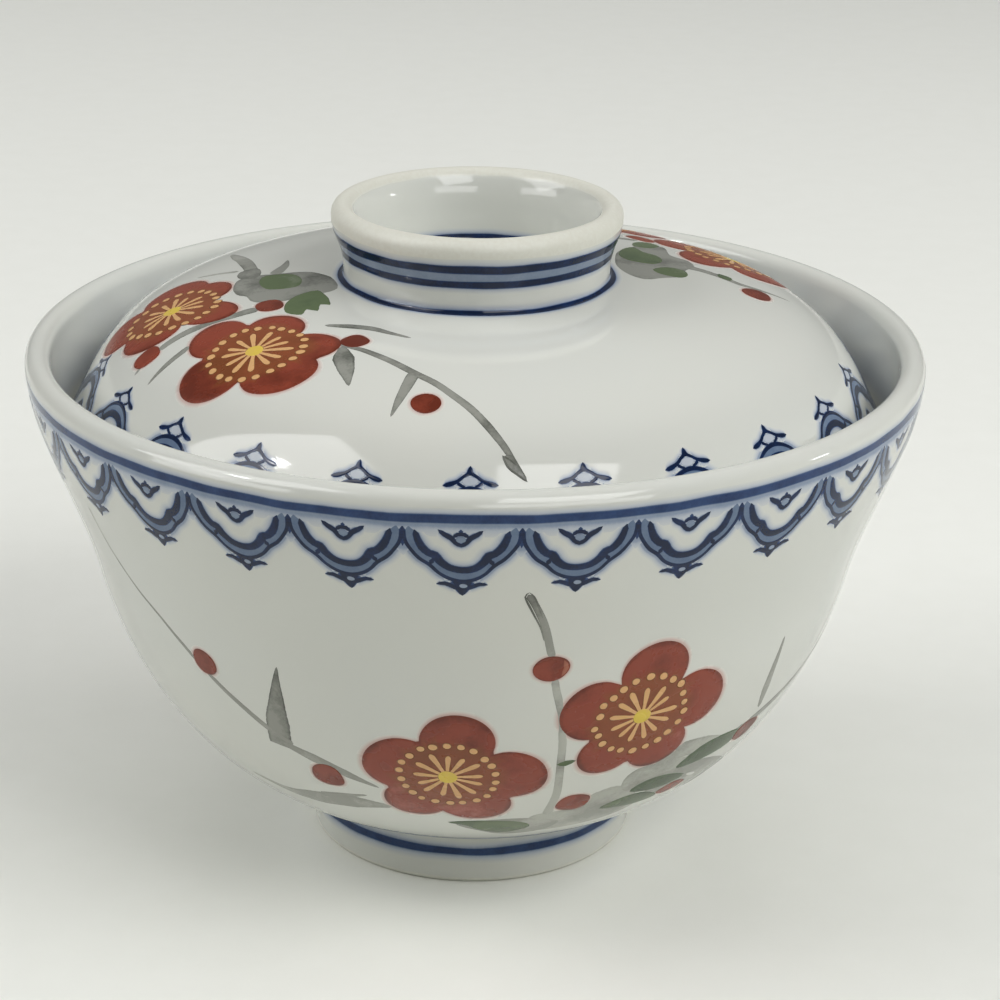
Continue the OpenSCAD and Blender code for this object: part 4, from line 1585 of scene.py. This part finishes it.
def soft_room():
    """A dim even room, which the camera and the gloss see as pale card."""
    world = bpy.data.worlds.new("soft_room")
    bpy.context.scene.world = world
    world.use_nodes = True
    w = Nodes(world.node_tree)
    background = w.tree.nodes["Background"].inputs
    rays = w.node("ShaderNodeLightPath").outputs
    camera, glossy, through = [Value(w, rays[f"Is {word} Ray"]) for word in SEEN_BY]
    mirrored = w.math("MAXIMUM", glossy, through, use_clamp=True)
    strength = w.mapped(mirrored, 0.0, 1.0, ROOM_LIGHT, ROOM_IN_GLAZE)
    w.join(ROOM, background["Color"])
    w.join(w.mixed(camera, strength, ROOM_SEEN, "FLOAT"), background["Strength"])


soft_room()

LAMPS_AIM = Vector((0, 0, 60 * MM))


def panel(name, azimuth_deg, elevation_deg, distance, width, height, power, roll_deg=0.0):
    """A soft panel of light that faces the bowl. Its azimuth is from the front, to the right."""
    azimuth = math.radians(azimuth_deg)
    elevation = math.radians(elevation_deg)
    away = Vector((math.sin(azimuth) * math.cos(elevation), -math.cos(azimuth) * math.cos(elevation),
                   math.sin(elevation)))
    lamp = bpy.data.lights.new(name, "AREA")
    lamp.shape = "RECTANGLE"
    lamp.size = width
    lamp.size_y = height
    lamp.energy = power
    made = new_object(name, lamp)
    made.location = LAMPS_AIM + distance * away
    roll = Quaternion((0, 0, 1), math.radians(roll_deg))
    made.rotation_euler = (away.to_track_quat("Z", "Y") @ roll).to_euler()
    return made


# A lamp's numbers: azimuth and elevation in degrees, distance, width, height, power in watts, roll

def soft_box(*settings):
    """A panel that lights the scene but leaves no mark in the glaze."""
    panel(*settings).visible_glossy = False


def window(*settings):
    """A panel that only shows in the glaze, as the photograph's windows do."""
    panel(*settings).visible_diffuse = False


soft_box("side_left", -90, 35, 1.6, 1.0, 0.8, 12.8)
soft_box("side_right", 90, 35, 1.6, 1.0, 0.8, 8.4)
soft_box("front_right", 50, 40, 1.6, 1.0, 0.8, 12.4)
soft_box("front_left", -50, 40, 1.6, 1.0, 0.8, 1.2)
soft_box("overhead", 0, 88, 1.6, 1.4, 1.4, 6.8)
soft_box("behind", 180, 50, 1.6, 1.4, 0.8, 2.8)
window("window_left", -67.5, 39, 1.2, 0.74, 1.0, 9.4, -24)
window("window_right", 25.6, 40.4, 1.2, 0.60, 0.84, 7.0, -18)
window("low_window_left", -62, 5, 1.6, 1.1, 0.7, 9.0)
window("low_window_right", 22, 5, 1.6, 1.2, 0.7, 8.6)
window("bright_pane", -66, 40, 1.2, 0.10, 0.08, 0.9)
window("small_pane", 90, 6, 1.6, 0.16, 0.16, 1.2)

VIEW_TILT = 0.374
VIEW_ROLL = 0.0133
VIEW_DISTANCE = 483.1 * MM
VIEW_ASIDE = 4.42 * MM
VIEW_RAISE = 3.8 * MM
VIEW_AIM = Vector((0, 0, 55 * MM))
LENS_MM = 100.8
SENSOR_MM = 36.0


def photo_camera():
    """A camera at the photograph's angle, tilted down and rolled a little."""
    way = Vector((0, math.cos(VIEW_TILT), -math.sin(VIEW_TILT)))
    right = Vector((1, 0, 0))
    up = Vector((0, math.sin(VIEW_TILT), math.cos(VIEW_TILT)))
    rolled_right = math.cos(VIEW_ROLL) * right + math.sin(VIEW_ROLL) * up
    rolled_up = -math.sin(VIEW_ROLL) * right + math.cos(VIEW_ROLL) * up
    data = bpy.data.cameras.new("photo_view")
    data.lens = LENS_MM
    data.sensor_width = SENSOR_MM
    camera = new_object("photo_view", data)
    matrix = camera.matrix_world.to_3x3()
    matrix.col[0] = rolled_right
    matrix.col[1] = rolled_up
    matrix.col[2] = -way
    camera.matrix_world = matrix.to_4x4()
    camera.location = VIEW_AIM - way * VIEW_DISTANCE + rolled_right * VIEW_ASIDE + rolled_up * VIEW_RAISE
    return camera


bpy.context.scene.camera = photo_camera()
bpy.context.scene.view_settings.view_transform = "Standard"
